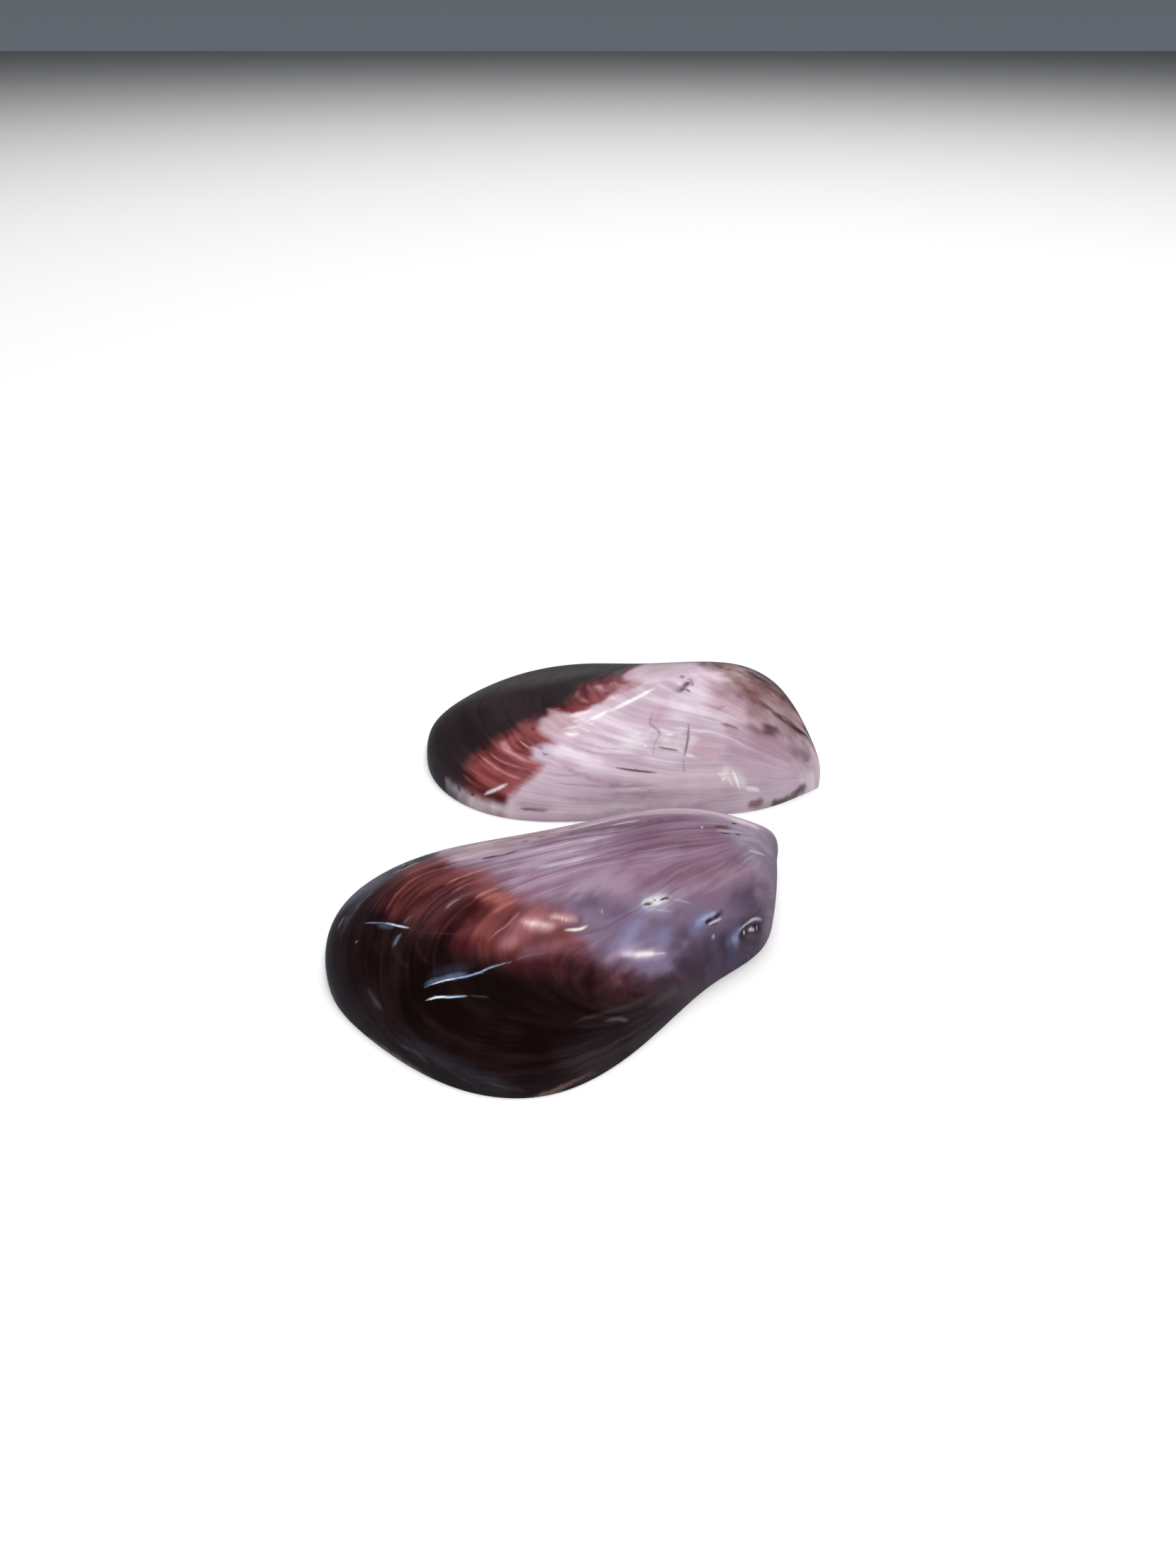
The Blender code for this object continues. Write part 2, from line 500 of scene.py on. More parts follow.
# two tones, softness of the edge, combing along the growth lines, strength, outline
RIGHT_WASHES = (
    (182, 159, 178, 146, 118, 138, 1.8, 0.8, 0.8, -12, 8, -4, 5.5, 4, 0.5, 9, -4, 6, -6.5, 0, -3.5, -6, 0,
     -10, 3),
    (106, 75, 95, 141, 112, 133, 2.2, 0.8, 0.9, 3, -2.5, 8, -4.5, 14, -5.5, 20, -8.5, 26, -12, 27, -15, 22,
     -17, 14, -17, 8, -15, 13, -12.5, 8, -9),
    (157, 126, 150, 131, 96, 119, 2, 0.8, 0.85, 4, -10, 9, -11, 12, -13.5, 8, -16, 3, -13),
    (118, 108, 124, 160, 146, 164, 1.6, 0.8, 0.85, 21, -8.5, 27, -9.5, 33, -11, 29, -17, 24, -18, 22, -14),
    (194, 175, 182, 158, 134, 144, 1.2, 0.5, 0.95, -18, 24, -15.2, 9, -9, 8.2, -3, 6.2, 3, 4.5, 8, 1.2, 14,
     -2.2, 19, -5, 24, -7.6, 30, -9.8, 38, -8, 20, 16),
    (98, 78, 104, 131, 111, 137, 2.2, 0.8, 0.9, -6, -8, -1, -11, 3.5, -14.5, 8, -18.2, 16, -19.3, 26, -18.3,
     25, -24, 10, -27, -2, -25, -4, -17, -5, -12),
    (62, 45, 63, 95, 79, 100, 1.4, 0.6, 0.9, 8, -21.5, 16, -21.3, 24, -19.5, 26, -22, 14, -26, 6, -25.5),
    (108, 88, 116, 162, 146, 172, 1.4, 0.6, 0.85, -3, -18.6, 1, -19.4, 6, -20.6, 9.6, -22, 4, -23.6, 0.5,
     -22.3, -1.6, -20.4),
    (70, 24, 27, 130, 70, 70, 2.3, 0.5, 1, -18, 24, -16.4, 13, -15, 9.5, -13, 6.5, -11.6, 3, -10, 0, -9, -4,
     -7, -7, -4.7, -11, -3.4, -14, -3.6, -17, -3.3, -19.4, -1.6, -21.4, 0, -23, 2, -24.3, 6, -25.3, 12,
     -24.8, 16, -40, -50, -40, -50, 24),
    (40, 22, 28, 74, 48, 56, 1.8, 0.4, 0.9, -7.5, -16.4, -4.6, -17.4, -3.4, -20, -2, -22.4, 1, -24.3, 6,
     -25.5, 12, -24.9, 9, -28, -5, -28, -8, -22),
    (54, 18, 21, 102, 48, 48, 3, 0.8, 0.95, -16.6, 24, -16.4, 14, -15.6, 9, -15.2, 4, -21, 2, -27, 0, -34,
     10, -30, 24),
    (38, 13, 17, 72, 38, 42, 1.8, 0.9, 0.9, -25, -0.5, -21, 1.8, -17, 3.6, -13, 3.4, -12.6, 1.2, -14.5, -0.2,
     -15, -3.5, -19, -5, -24, -5),
    (20, 8, 9, 37, 21, 22, 2.6, 0.9, 1, -17.5, 24, -18.4, 14.5, -21.8, 12.4, -25, 9.2, -27, 5.5, -26.2, 2.5,
     -24.4, -0.5, -21.4, -4, -17.8, -6.2, -18.4, -9.5, -16.4, -12.5, -12, -15, -7.4, -17.6, -6.2, -21, -4.4,
     -23.6, 0, -25.2, 8, -26, 16, -40, -50, -40, -50, 24),
    (16, 6, 5, 32, 19, 21, 3, 1, 0.9, -28, -10, -20, -9, -15, -15, -12, -22, -15, -28, -24, -24, -31, -15),
    # a grey band along the hind part of the hinge rim: a painted sheen on the pale rim
    (48, 43, 50, 98, 94, 104, 1.6, 0.6, 0.9, -29, 9.4, -25, 11.7, -21, 12.9, -16.5, 13.6, -15.6, 15, -17, 24,
     -28, 24, -34, 8.4),
    (27, 18, 20, 56, 44, 48, 1.6, 0.5, 0.7, -13, -27.2, -8, -26.6, -2, -26.6, 5, -25.9, 12, -25, 8, -30, -10,
     -33),
)
# colour, half width, combing, strength, line
RIGHT_STROKES = (
    # arcs of the rust-coloured layer
    (110, 54, 52, 0.9, 0.3, 0.5, -24.4, 5.6, -22, 7.3, -19, 8, -14.6, 7.6),
    (152, 84, 76, 0.22, 0.05, 0.95, -26.8, 3.2, -25.3, 5.2, -23.4, 7.1, -21, 8.6, -18.6, 9.1, -16, 8.9,
     -13.6, 8.2),
    (108, 52, 49, 0.2, 0.05, 0.8, -25.6, 3.4, -24, 5.2, -22.2, 6.6, -20, 7.5),
    (126, 70, 66, 0.2, 0.05, 0.8, -21.4, 4.6, -19, 5.6, -16.6, 6, -14, 5.9, -12.4, 5.6),
    (188, 130, 122, 0.22, 0.05, 0.9, -17.6, 4.1, -15.6, 4.7, -13.4, 4.6, -11.4, 4.2, -8.8, 3.6),
    (156, 96, 88, 0.22, 0.05, 0.85, -17, 2, -15, 2.4, -13, 2.3, -11.3, 1.8, -9.8, 1),
    (130, 74, 70, 0.2, 0.05, 0.7, -16, 3.2, -13.8, 3.5, -11.6, 3.1),
    (116, 78, 84, 0.3, 0.05, 0.8, -19, -0.9, -17.5, 0, -15.5, 0.35, -13, 0.2, -10.8, 0),
    (150, 132, 138, 0.16, 0.05, 0.8, -18.6, -0.8, -17.4, -0.1, -16, 0.1),
    (78, 42, 46, 0.3, 0.05, 0.6, -21.5, -1, -19.6, 1, -17, 1.7),
    (150, 96, 98, 0.25, 0.1, 0.8, -22, 10.6, -19.6, 11.3, -17, 11.4, -15.2, 11),
    (118, 60, 62, 0.9, 0.4, 0.6, -22, 11.2, -19.5, 12, -16.4, 12.3),
    (104, 40, 42, 0.5, 0.3, 0.8, -16.8, 10.3, -14.8, 10.2),
    (50, 20, 23, 1.2, 0.4, 0.6, -24.8, 0.8, -22.4, 2.4, -19.6, 3.4),
    (46, 18, 23, 0.4, 0.2, 0.8, -24.5, 1.5, -21.5, 3.4, -18, 4.3, -14.5, 3.9),
    (44, 19, 23, 0.35, 0.2, 0.7, -23, -2.5, -20.5, -0.5, -18, 0.8, -15, 1.3),
    (50, 20, 25, 0.4, 0.2, 0.7, -19, -2.6, -16.4, -1.4, -14, -1.2),
    (52, 18, 22, 1, 0.4, 0.65, -20.6, -3.2, -17.8, -2.4, -15.4, -2.8),
    (150, 86, 82, 0.4, 0.3, 0.7, -13.6, 6.8, -12.6, 5.2, -12, 3.4),
    # rust patch and the pinkish lobe, with the light on it painted in
    (170, 100, 92, 1.5, 0.5, 0.85, -12.8, -1, -11.2, -3, -9.8, -5),
    (200, 140, 128, 0.25, 0.05, 0.85, -14, -1, -12, -0.9, -10.4, -1.4),
    (170, 106, 102, 0.3, 0.05, 0.8, -13.6, -2.2, -11.6, -2.4, -9.6, -3),
    (178, 118, 114, 0.25, 0.05, 0.8, -12.8, -5.4, -10.6, -5.2, -8.4, -5.6),
    (172, 104, 98, 0.25, 0.05, 0.7, -12.4, -3.9, -10.6, -3.8, -8.9, -4.2),
    (60, 21, 25, 1.2, 0.6, 0.8, -19, -5.6, -15.5, -4.8, -12.8, -5),
    (104, 50, 54, 0.8, 0.4, 0.7, -14, -6.6, -11, -6.8, -7.8, -7),
    (156, 100, 106, 2.2, 0.4, 0.9, -13.6, -11.2, -11, -10.4, -8, -10.2, -5, -13),
    (172, 120, 126, 1, 0.2, 0.6, -13.4, -11.2, -12, -11.6),
    (184, 138, 144, 1, 0.2, 0.8, -9.8, -9.6, -8.4, -11, -6, -12.8),
    (164, 106, 106, 0.2, 0, 0.8, -15, -9.5, -13.4, -8.9, -12, -8.7, -10.5, -8, -9.3, -7.5),
    (96, 42, 42, 0.7, 0.3, 0.7, -17, -7.6, -16.2, -9, -15.4, -11, -14.8, -12),
    (66, 20, 28, 1.2, 0.5, 0.85, -20.4, -6.8, -18.6, -8.3, -17.4, -10.6),
    (206, 160, 162, 0.8, 0.5, 0.8, -10, -9, -8.8, -10.2, -7.4, -11.6, -5.9, -12.8),
    (250, 222, 214, 0.35, 0.25, 0.8, -9.6, -9.5, -8.4, -10.7, -6.8, -12.2),
    (214, 164, 166, 0.6, 0.2, 0.8, -6.4, -10.6, -5, -11.8, -3.8, -13, -3, -14),
    (236, 200, 198, 0.22, 0, 0.7, -6, -11, -4.8, -12.2, -3.8, -13.4),
    (158, 114, 122, 0.3, 0.1, 0.5, -7.4, -10.4, -6, -12, -4.4, -13.6),
    (250, 240, 226, 0.2, 0, 0.95, -5.2, -14, -3.8, -14.9, -2.9, -15.2, -2, -15.4),
    (128, 84, 94, 1.2, 0.4, 0.8, -12.5, -14, -9, -14.8, -5.5, -15.8),
    (58, 26, 32, 1.6, 0.8, 0.8, -14, -15.8, -9, -17.2, -6.2, -19),
    (108, 68, 80, 0.9, 0.4, 0.8, -7, -16.6, -4.6, -17.6, -3.6, -19.2),
    (90, 46, 56, 0.7, 0.4, 0.7, -5.8, -18.4, -4.4, -19.6, -3, -20.6),
    (30, 12, 17, 0.6, 0.2, 0.9, -3.4, -19.8, -4.6, -21.6, -5.4, -23.4, -5.4, -25.2),
    (72, 44, 48, 0.9, 0.5, 0.7, -3, -21.2, -2.6, -23.4, -0.6, -25.2),
    (60, 43, 50, 0.9, 0.4, 0.75, 0, -24.1, 4, -24.9, 9, -25.2, 13, -24.4),
    # dark end: its sheen, painted in, growth lines, the thin worn margin
    (78, 66, 72, 0.35, 0.1, 0.8, 2, -26.6, 8, -25.3, 14, -23.9),
    (94, 85, 87, 0.16, 0.1, 0.8, -5, -26.8, -3, -27.1, -1.5, -27.5),
    (62, 51, 53, 0.2, 0.1, 0.7, -9, -25.6, -5, -26, 0, -26.2, 6, -25.2),
    (46, 46, 54, 0.7, 0.1, 0.8, -31, -15.5, -27, -21, -23, -25.5, -19, -28.5),
    (72, 66, 71, 0.12, 0.05, 0.8, -31, -16.2, -29.4, -18.4, -28.2, -20.4),
    (60, 52, 56, 0.12, 0.05, 0.7, -26.8, -21.6, -24.8, -24.4, -23.2, -26.2),
    (60, 52, 56, 0.12, 0.05, 0.7, -22.6, -26, -20, -28, -17.6, -29.4),
    (128, 98, 92, 0.16, 0, 0.8, -35.6, -9.4, -32.4, -15.4, -28.6, -21.4, -24.6, -26, -19.4, -29.3, -14,
     -30.6, -8, -30.6),
    (58, 56, 64, 0.3, 0.05, 0.8, -32.8, -7.5, -32.3, -9.6, -31.8, -11.4),
    (66, 66, 74, 0.14, 0.05, 0.8, -32.6, -8, -32.2, -9.6, -31.8, -11),
    (62, 60, 69, 0.7, 0.2, 0.8, -34, 2.6, -32.4, 5.4, -29.8, 8.4, -26, 10.4),
    (78, 76, 85, 0.25, 0.1, 0.7, -32, 5, -29.6, 7.8, -27, 9.6),
    (160, 152, 160, 0.22, 0, 0.85, -23.6, 13, -21.6, 13.3, -19.6, 13.7, -18.6, 13.8),
    (118, 108, 112, 0.9, 0.2, 0.8, -22.6, 13.6, -21, 14.6, -19.4, 15.6),
    (34, 20, 19, 0.6, 0, 1, -21.7, 13.9, -20.9, 14.3, -20.3, 14.2),
    (40, 25, 24, 0.5, 0, 1, -20.6, 15.4, -20.1, 16.2, -19.8, 16.8),
    (196, 184, 176, 0.2, 0, 0.8, -21.4, 15, -20.6, 15.3),
    (124, 122, 128, 0.14, 0, 0.85, -34, 4.8, -33, 6.1, -32.4, 6.5),
    (36, 26, 30, 0.2, 0, 0.9, -33.6, 5.8, -32.8, 6.8),
    (34, 18, 20, 0.5, 0.1, 0.7, -29.4, -4, -30.2, -1.4, -29.6, 1.6),
    (54, 32, 34, 0.3, 0.1, 0.6, -26.6, -8.6, -27.6, -5, -27.4, -2.4),
    (52, 28, 32, 0.25, 0.1, 0.6, -23.6, -9.6, -24.6, -6.4, -24, -3.6),
    (66, 40, 46, 0.16, 0, 0.6, -24, -2.8, -21, -4.6, -18, -6.6),
    # bands of the mauve layer
    (98, 70, 88, 0.9, 0.4, 0.85, 1.6, 4, 4.4, 2, 8, -1.4, 12, -4.4, 16, -6.4, 21, -8.6),
    (130, 105, 121, 0.5, 0.3, 0.7, 9, 0.4, 13, -2.6, 17, -5),
    (92, 64, 82, 0.2, 0.05, 0.8, -2, 3.8, 1, 2.2, 4, -0.1, 7, -2.6, 10, -4.6, 13.5, -5.8, 18, -7.8),
    # the next four pale lines are painted sheen on the layer's lighter bands
    (204, 186, 198, 0.32, 0.1, 0.9, -4, 3.5, -1, 2, 2, 0.1, 5, -2.1, 7.6, -3.8),
    (198, 182, 202, 0.45, 0.2, 0.8, -4.5, -0.7, -2, -2.5, 1, -4.4, 5, -6.5),
    (184, 166, 186, 0.25, 0.05, 0.7, -6.6, 0.6, -3, -1.6, 0.5, -3.8),
    (208, 190, 202, 0.22, 0, 0.95, 8.5, -0.9, 10.3, -2, 12.2, -3.2),
    (166, 144, 158, 0.25, 0.1, 0.7, -2, 4.6, 1, 3.1, 4, 1),
    (116, 84, 100, 0.2, 0.05, 0.9, 1, -2.2, 3, -3.6, 6, -4.9, 9, -6.3, 11.5, -7.2),
    (104, 74, 90, 0.2, 0.05, 0.9, 5.5, -7.8, 8, -8.7, 11, -10, 14, -11.3, 17, -12.4),
    (126, 96, 116, 0.18, 0.05, 0.8, 1, -4.8, 4, -6.2, 8, -8),
    (110, 80, 98, 0.4, 0.3, 0.7, 2, -6.4, 6, -8.2, 10, -9.8, 14, -11),
    (100, 70, 88, 0.35, 0.2, 0.7, 9, -10.4, 14, -12.2, 19, -13.6),
    (166, 140, 158, 0.35, 0.2, 0.6, 4, -9.6, 9, -12, 14, -13.2),
    (134, 98, 118, 0.3, 0.1, 0.7, 10, -13.4, 14, -14.6, 19, -16),
    (164, 134, 150, 0.22, 0.1, 0.8, 14.6, -18.6, 18, -18.2, 21, -17.6, 25, -16.8),
    (196, 182, 194, 0.14, 0, 0.8, 24, -15, 25.6, -15.1, 27.4, -15),
    (126, 96, 112, 0.25, 0.1, 0.7, 18, -14.6, 22, -14.8, 26, -14),
    (140, 114, 130, 0.2, 0.1, 0.6, 12, -6.6, 16, -8.6, 20, -10),
    (128, 104, 112, 0.35, 0.1, 0.8, -5, 11, -2, 9, 1, 7.5, 3, 6),
    (86, 62, 70, 0.36, 0.1, 0.95, 3.6, 5.2, 5, 4.5, 6.2, 3.8),
    (56, 32, 36, 0.3, 0.1, 1, -10.4, 7.3, -9, 6.8, -8, 6.1, -6.5, 5.5, -4.8, 5),
    (188, 172, 180, 0.16, 0, 0.8, -10, 7.9, -7.6, 6.6, -5, 5.6),
    (74, 50, 54, 0.26, 0, 0.9, -10, 7.2, -8.8, 6.6),
    (126, 94, 98, 0.16, 0, 0.9, -13.4, 8.8, -12, 8.2, -10.4, 7.5),
    (72, 46, 50, 0.34, 0.1, 1, -3.2, 7.2, -2.2, 6.8),
    (88, 60, 66, 0.3, 0.1, 1, -0.6, 6.7, -0.1, 6),
    (150, 122, 134, 0.2, 0.1, 0.8, -3.4, 8.6, 0.4, 7.2, 4, 5.6, 8, 3.2),
    (176, 150, 158, 0.3, 0.1, 0.6, -13, 10.6, -8, 9.6, -3, 7.8),
    (94, 74, 101, 1.5, 0.9, 0.55, -2.8, -10.4, -0.6, -12, 1.2, -13.8, 2.6, -16, 4.4, -18),
    (116, 96, 108, 1, 0.4, 0.7, -2, -15.6, -1, -17.2),
    (160, 134, 156, 1.6, 0.6, 0.5, -1.5, -7.5, 1.5, -9.5, 4, -11.5),
    (124, 84, 104, 1.2, 0.5, 0.7, 9, -14.6, 13, -15.6, 18, -16.4),
    (84, 63, 86, 0.8, 0.4, 0.8, 17.5, -19.8, 20, -19.6, 23, -19.2, 26.5, -18.2),
    (176, 156, 174, 0.12, 0, 0.8, 0.6, -14.2, 0.3, -14.9),
    # beak end: bare pale layer with specks of the brown skin left on it
    (232, 222, 226, 0.9, 0.3, 0.85, 23.5, -7.4, 27, -8.8, 30, -9.6),
    (174, 154, 166, 0.7, 0.3, 0.6, 14, -2.6, 18, -5, 21, -6.4),
    (104, 58, 52, 0.36, 0, 1, 20.6, -10.6, 21.8, -10.7, 23.4, -11.1),
    (124, 76, 68, 0.2, 0, 0.9, 21.6, -10.6, 22.8, -10.8),
    (58, 34, 40, 0.28, 0, 1, 24.3, -9.8, 25.1, -9.8),
    (88, 54, 58, 0.17, 0, 1, 21, -11.9, 21.8, -12.1, 22.5, -12.3),
    (88, 54, 58, 0.17, 0, 1, 23.2, -12.4, 24.2, -12.5),
    (176, 163, 177, 0.2, 0.05, 0.8, 20.4, -11.3, 22, -11.7, 24, -12, 26.4, -12.1),
    (208, 198, 208, 0.16, 0, 0.9, 18.7, -10.3, 18.9, -10.1),
    # eroded pits, each with a pale halo of bruised shell, and a painted glint beside them
    (148, 142, 166, 1.5, 0.3, 0.7, 4.8, -16.4, 7.4, -17.2, 10, -18),
    (184, 184, 204, 0.85, 0.2, 0.85, 5.4, -16.8, 7.4, -17.2, 9.4, -17.5),
    (226, 218, 222, 0.42, 0.1, 0.95, 5.6, -16.5, 7.4, -17, 9.8, -17.5),
    (240, 236, 240, 0.16, 0, 0.95, 6.7, -17.3, 7.4, -17.4, 8.3, -17.5),
    (186, 176, 196, 0.12, 0.05, 0.8, 6, -17.6, 7.6, -18.3, 9.4, -19.1),
    (176, 166, 186, 0.12, 0.05, 0.8, 9.8, -17.8, 11, -18.4, 12.4, -19.2),
    (52, 40, 44, 0.17, 0, 1, 5.9, -16.85, 6.4, -17, 6.9, -17.25),
    (96, 82, 88, 0.1, 0, 0.9, 7.2, -16.95, 7.8, -17.1),
    (56, 44, 46, 0.12, 0, 1, 8.3, -17.3, 9, -17.4, 9.6, -17.6),
    (112, 108, 146, 0.8, 0.3, 0.8, 11, -21.4, 13, -20.8, 15.4, -20.4),
    (142, 148, 188, 0.35, 0.1, 0.9, 11.9, -21.1, 13.4, -20.7, 15.2, -20.4),
    (180, 184, 212, 0.13, 0.05, 0.9, 13, -20.75, 14.4, -20.55, 15.8, -20.4),
    (50, 40, 44, 0.17, 0, 1, 13.9, -21.1, 14.6, -21, 15.2, -20.95),
    (54, 44, 46, 0.12, 0, 1, 15.2, -20.9, 16, -20.8, 16.8, -20.65),
    (84, 72, 78, 0.07, 0, 0.9, 14.4, -21.3, 15.9, -21.15),
    (206, 202, 212, 0.06, 0, 0.9, 14.2, -21.25, 15.2, -21.1, 16.6, -20.95),
    (108, 108, 146, 0.5, 0.2, 0.8, 16.6, -22.4, 18.4, -22, 20, -21.5),
    (158, 170, 208, 0.22, 0.05, 0.95, 17.8, -22.15, 18.8, -22, 19.9, -21.7),
    (52, 42, 44, 0.16, 0, 1, 19.3, -22, 20.1, -21.85, 20.9, -21.6),
    (48, 38, 42, 0.17, 0, 1, 20.9, -21.6, 22.5, -21.3, 24.1, -20.9),
    (90, 76, 80, 0.07, 0, 0.9, 20.6, -21.85, 22.4, -21.55),
    (214, 206, 214, 0.08, 0, 0.95, 20.3, -21.75, 20.6, -21.7),
    (196, 186, 196, 0.07, 0, 0.95, 21.7, -21.5, 22, -21.35),
    (206, 198, 206, 0.06, 0, 0.95, 23, -21.25, 23.2, -21.1),
    (206, 198, 208, 0.08, 0, 0.9, 19.4, -21.7, 21.5, -21.15, 24.2, -20.6),
    (220, 214, 222, 0.06, 0, 0.8, 21.2, -21.55, 22.6, -21.35),
    (168, 132, 148, 0.5, 0.2, 0.7, 23, -19.4, 25, -19.1),
    (178, 170, 190, 0.12, 0, 0.8, 14.4, -22.1, 15, -22),
    (140, 136, 172, 0.9, 0.4, 0.75, 0.4, -19.8, 2.6, -19, 5.4, -18.6),
    (126, 128, 166, 0.9, 0.4, 0.7, 4.6, -20.6, 6.6, -21, 8, -20.8),
    (124, 110, 145, 0.7, 0.3, 0.75, 1.2, -22.9, 3.6, -23.5, 6.8, -23.7),
    (190, 170, 196, 0.6, 0.1, 0.8, 0, -20.6, 3, -21.9, 6.6, -22.7),
    (232, 214, 222, 0.28, 0.05, 0.9, 0.2, -20.8, 1.8, -21.5, 3.6, -22.1, 5.6, -22.5),
    (252, 242, 236, 0.22, 0, 1, 1.9, -21.65, 3.4, -22.1, 4.9, -22.4),
    (214, 200, 214, 0.1, 0, 0.8, 4.6, -22.4, 6.6, -22.7),
    # glints on the polish, painted in: they are reflections, not marks in the shell
    (50, 48, 60, 0.8, 0.1, 0.7, -24.6, -10.6, -21.6, -11.2, -18, -12.4),
    (156, 178, 212, 0.12, 0, 0.9, -25.6, -12, -22.5, -12.5, -19, -13.5, -16.5, -13.7, -13.4, -14.4),
    (86, 96, 122, 0.4, 0, 0.8, -25.4, -11.7, -22.5, -12.1, -19.4, -13),
    (104, 88, 100, 0.14, 0, 0.7, -13, -14.5, -11, -14.8, -8.6, -15.8),
    (196, 212, 236, 0.13, 0, 1, -26, -13.8, -24.4, -14.2, -23, -15, -20.6, -16),
    (70, 62, 72, 0.1, 0, 0.7, -20.4, -16.1, -18, -17.6),
    (255, 255, 255, 0.09, 0, 1, -25.6, -13.95, -24.4, -14.25, -23.4, -14.8),
    (232, 240, 250, 0.07, 0, 1, -24.6, -12.15, -22.8, -12.4, -21, -12.95),
    (120, 136, 164, 0.13, 0, 0.85, -30.2, 2.8, -29, 2.1, -27, 0.7, -25.6, -0.7),
    (206, 222, 244, 0.15, 0, 1, -27.4, 1, -26.2, -0.1, -24.5, -1.7),
    (70, 76, 92, 0.5, 0, 0.7, -28.6, 1.4, -26.4, -0.4),
    (96, 112, 132, 0.22, 0, 0.8, -25.8, -1.8, -26.8, -2.8, -27.6, -3.8),
    (84, 92, 100, 0.16, 0, 0.8, -25, -0.4, -23.6, 0.6),
    (16, 7, 8, 0.14, 0, 0.95, -26.4, -2.2, -25.6, -1.5),
    (120, 112, 116, 0.16, 0, 0.8, -32.2, 0.1, -32, 0.1),
)
# depth, half width, line; the two of a depth below 0 stand up a little under painted glints
RIGHT_DENTS = (
    (0.35, 0.2, 5.9, -16.85, 6.4, -17, 6.9, -17.25),
    (0.3, 0.16, 8.3, -17.3, 9, -17.4, 9.6, -17.6),
    (0.4, 0.22, 13.9, -21.1, 14.6, -21, 15.2, -20.95, 16, -20.8, 16.8, -20.65),
    (0.4, 0.22, 19.3, -22, 20.1, -21.85, 20.9, -21.6, 22.5, -21.3, 24.1, -20.9),
    (0.08, 0.3, -10, 7.2, -8, 6.2, -6, 5.5, -5, 5),
    (-0.02, 0.35, -25.6, -12, -22.5, -12.5, -19, -13.5, -16.5, -13.7, -13.4, -14.4),
    (-0.02, 0.35, -26, -13.8, -24.4, -14.2, -23, -15, -20.6, -16),
)

right_valve = add_valve("right_valve_polished", RIGHT_STROKES)
finish_valve(right_valve, RIGHT_POLE, RIGHT_LINES, RIGHT_EDGE_TURNS, RIGHT_QUIET, RIGHT_BASE, RIGHT_WASHES,
             RIGHT_STROKES, RIGHT_DENTS, (0.0, 0.3), False, (-6.013, -17.486), math.radians(24.7))


def fill_inputs(tree, node, given):
    """Gives inputs of a node a value each, or links them to the output that is given."""
    for name, value in given.items():
        if isinstance(value, bpy.types.NodeSocket):
            tree.links.new(value, node.inputs[name])
        else:
            node.inputs[name].default_value = value


def add_node(tree, kind, given=None, **settings):
    """Outputs of a new shader node with these inputs and settings."""
    node = tree.nodes.new("ShaderNode" + kind)
    for name, value in settings.items():
        setattr(node, name, value)
    fill_inputs(tree, node, given or {})
    return node.outputs


def growth_streaks():
    """Shader group: fine streaks and lines that run with the growth of the shell."""
    group = bpy.data.node_groups.new("growth_streaks", "ShaderNodeTree")
    for name, way, kind in (("Growth", "INPUT", "Vector"), ("Lines", "INPUT", "Float"),
                            ("Firm", "INPUT", "Float"), ("Streak", "OUTPUT", "Float"),
                            ("Grain", "OUTPUT", "Float")):
        group.interface.new_socket(name, in_out=way, socket_type="NodeSocket" + kind)
    given = group.nodes.new("NodeGroupInput").outputs
    split = add_node(group, "SeparateXYZ", {0: given["Growth"]})
    across = add_node(group, "Math", {0: split["Z"], 1: given["Lines"]}, operation="MULTIPLY")
    along = [add_node(group, "Math", {0: split[axis], 1: 0.08}, operation="MULTIPLY")[0]
             for axis in ("X", "Y")]
    place = add_node(group, "CombineXYZ", {0: along[0], 1: along[1], 2: across[0]})
    streak = add_node(group, "TexNoise", {
        "Vector": place[0], "Scale": 1.0, "Detail": 4.0, "Roughness": 0.6})
    fade = add_node(group, "MapRange", {
        "Value": split["Z"], "From Min": 0.5, "From Max": 2.0, "To Min": 0.25})
    both = add_node(group, "Math", {0: fade[0], 1: given["Firm"]}, operation="MULTIPLY")
    calm = add_node(group, "Mix", {"Factor": both[0], "A": 0.5, "B": streak["Fac"]})
    flat = add_node(group, "CombineXYZ", {0: split["X"], 1: split["Y"], 2: 0.37})
    grain = add_node(group, "TexNoise", {"Vector": flat[0], "Scale": 1.6, "Detail": 2.5})
    result = group.nodes.new("NodeGroupOutput")
    fill_inputs(group, result, {"Streak": calm["Result"], "Grain": grain["Fac"]})
    return group


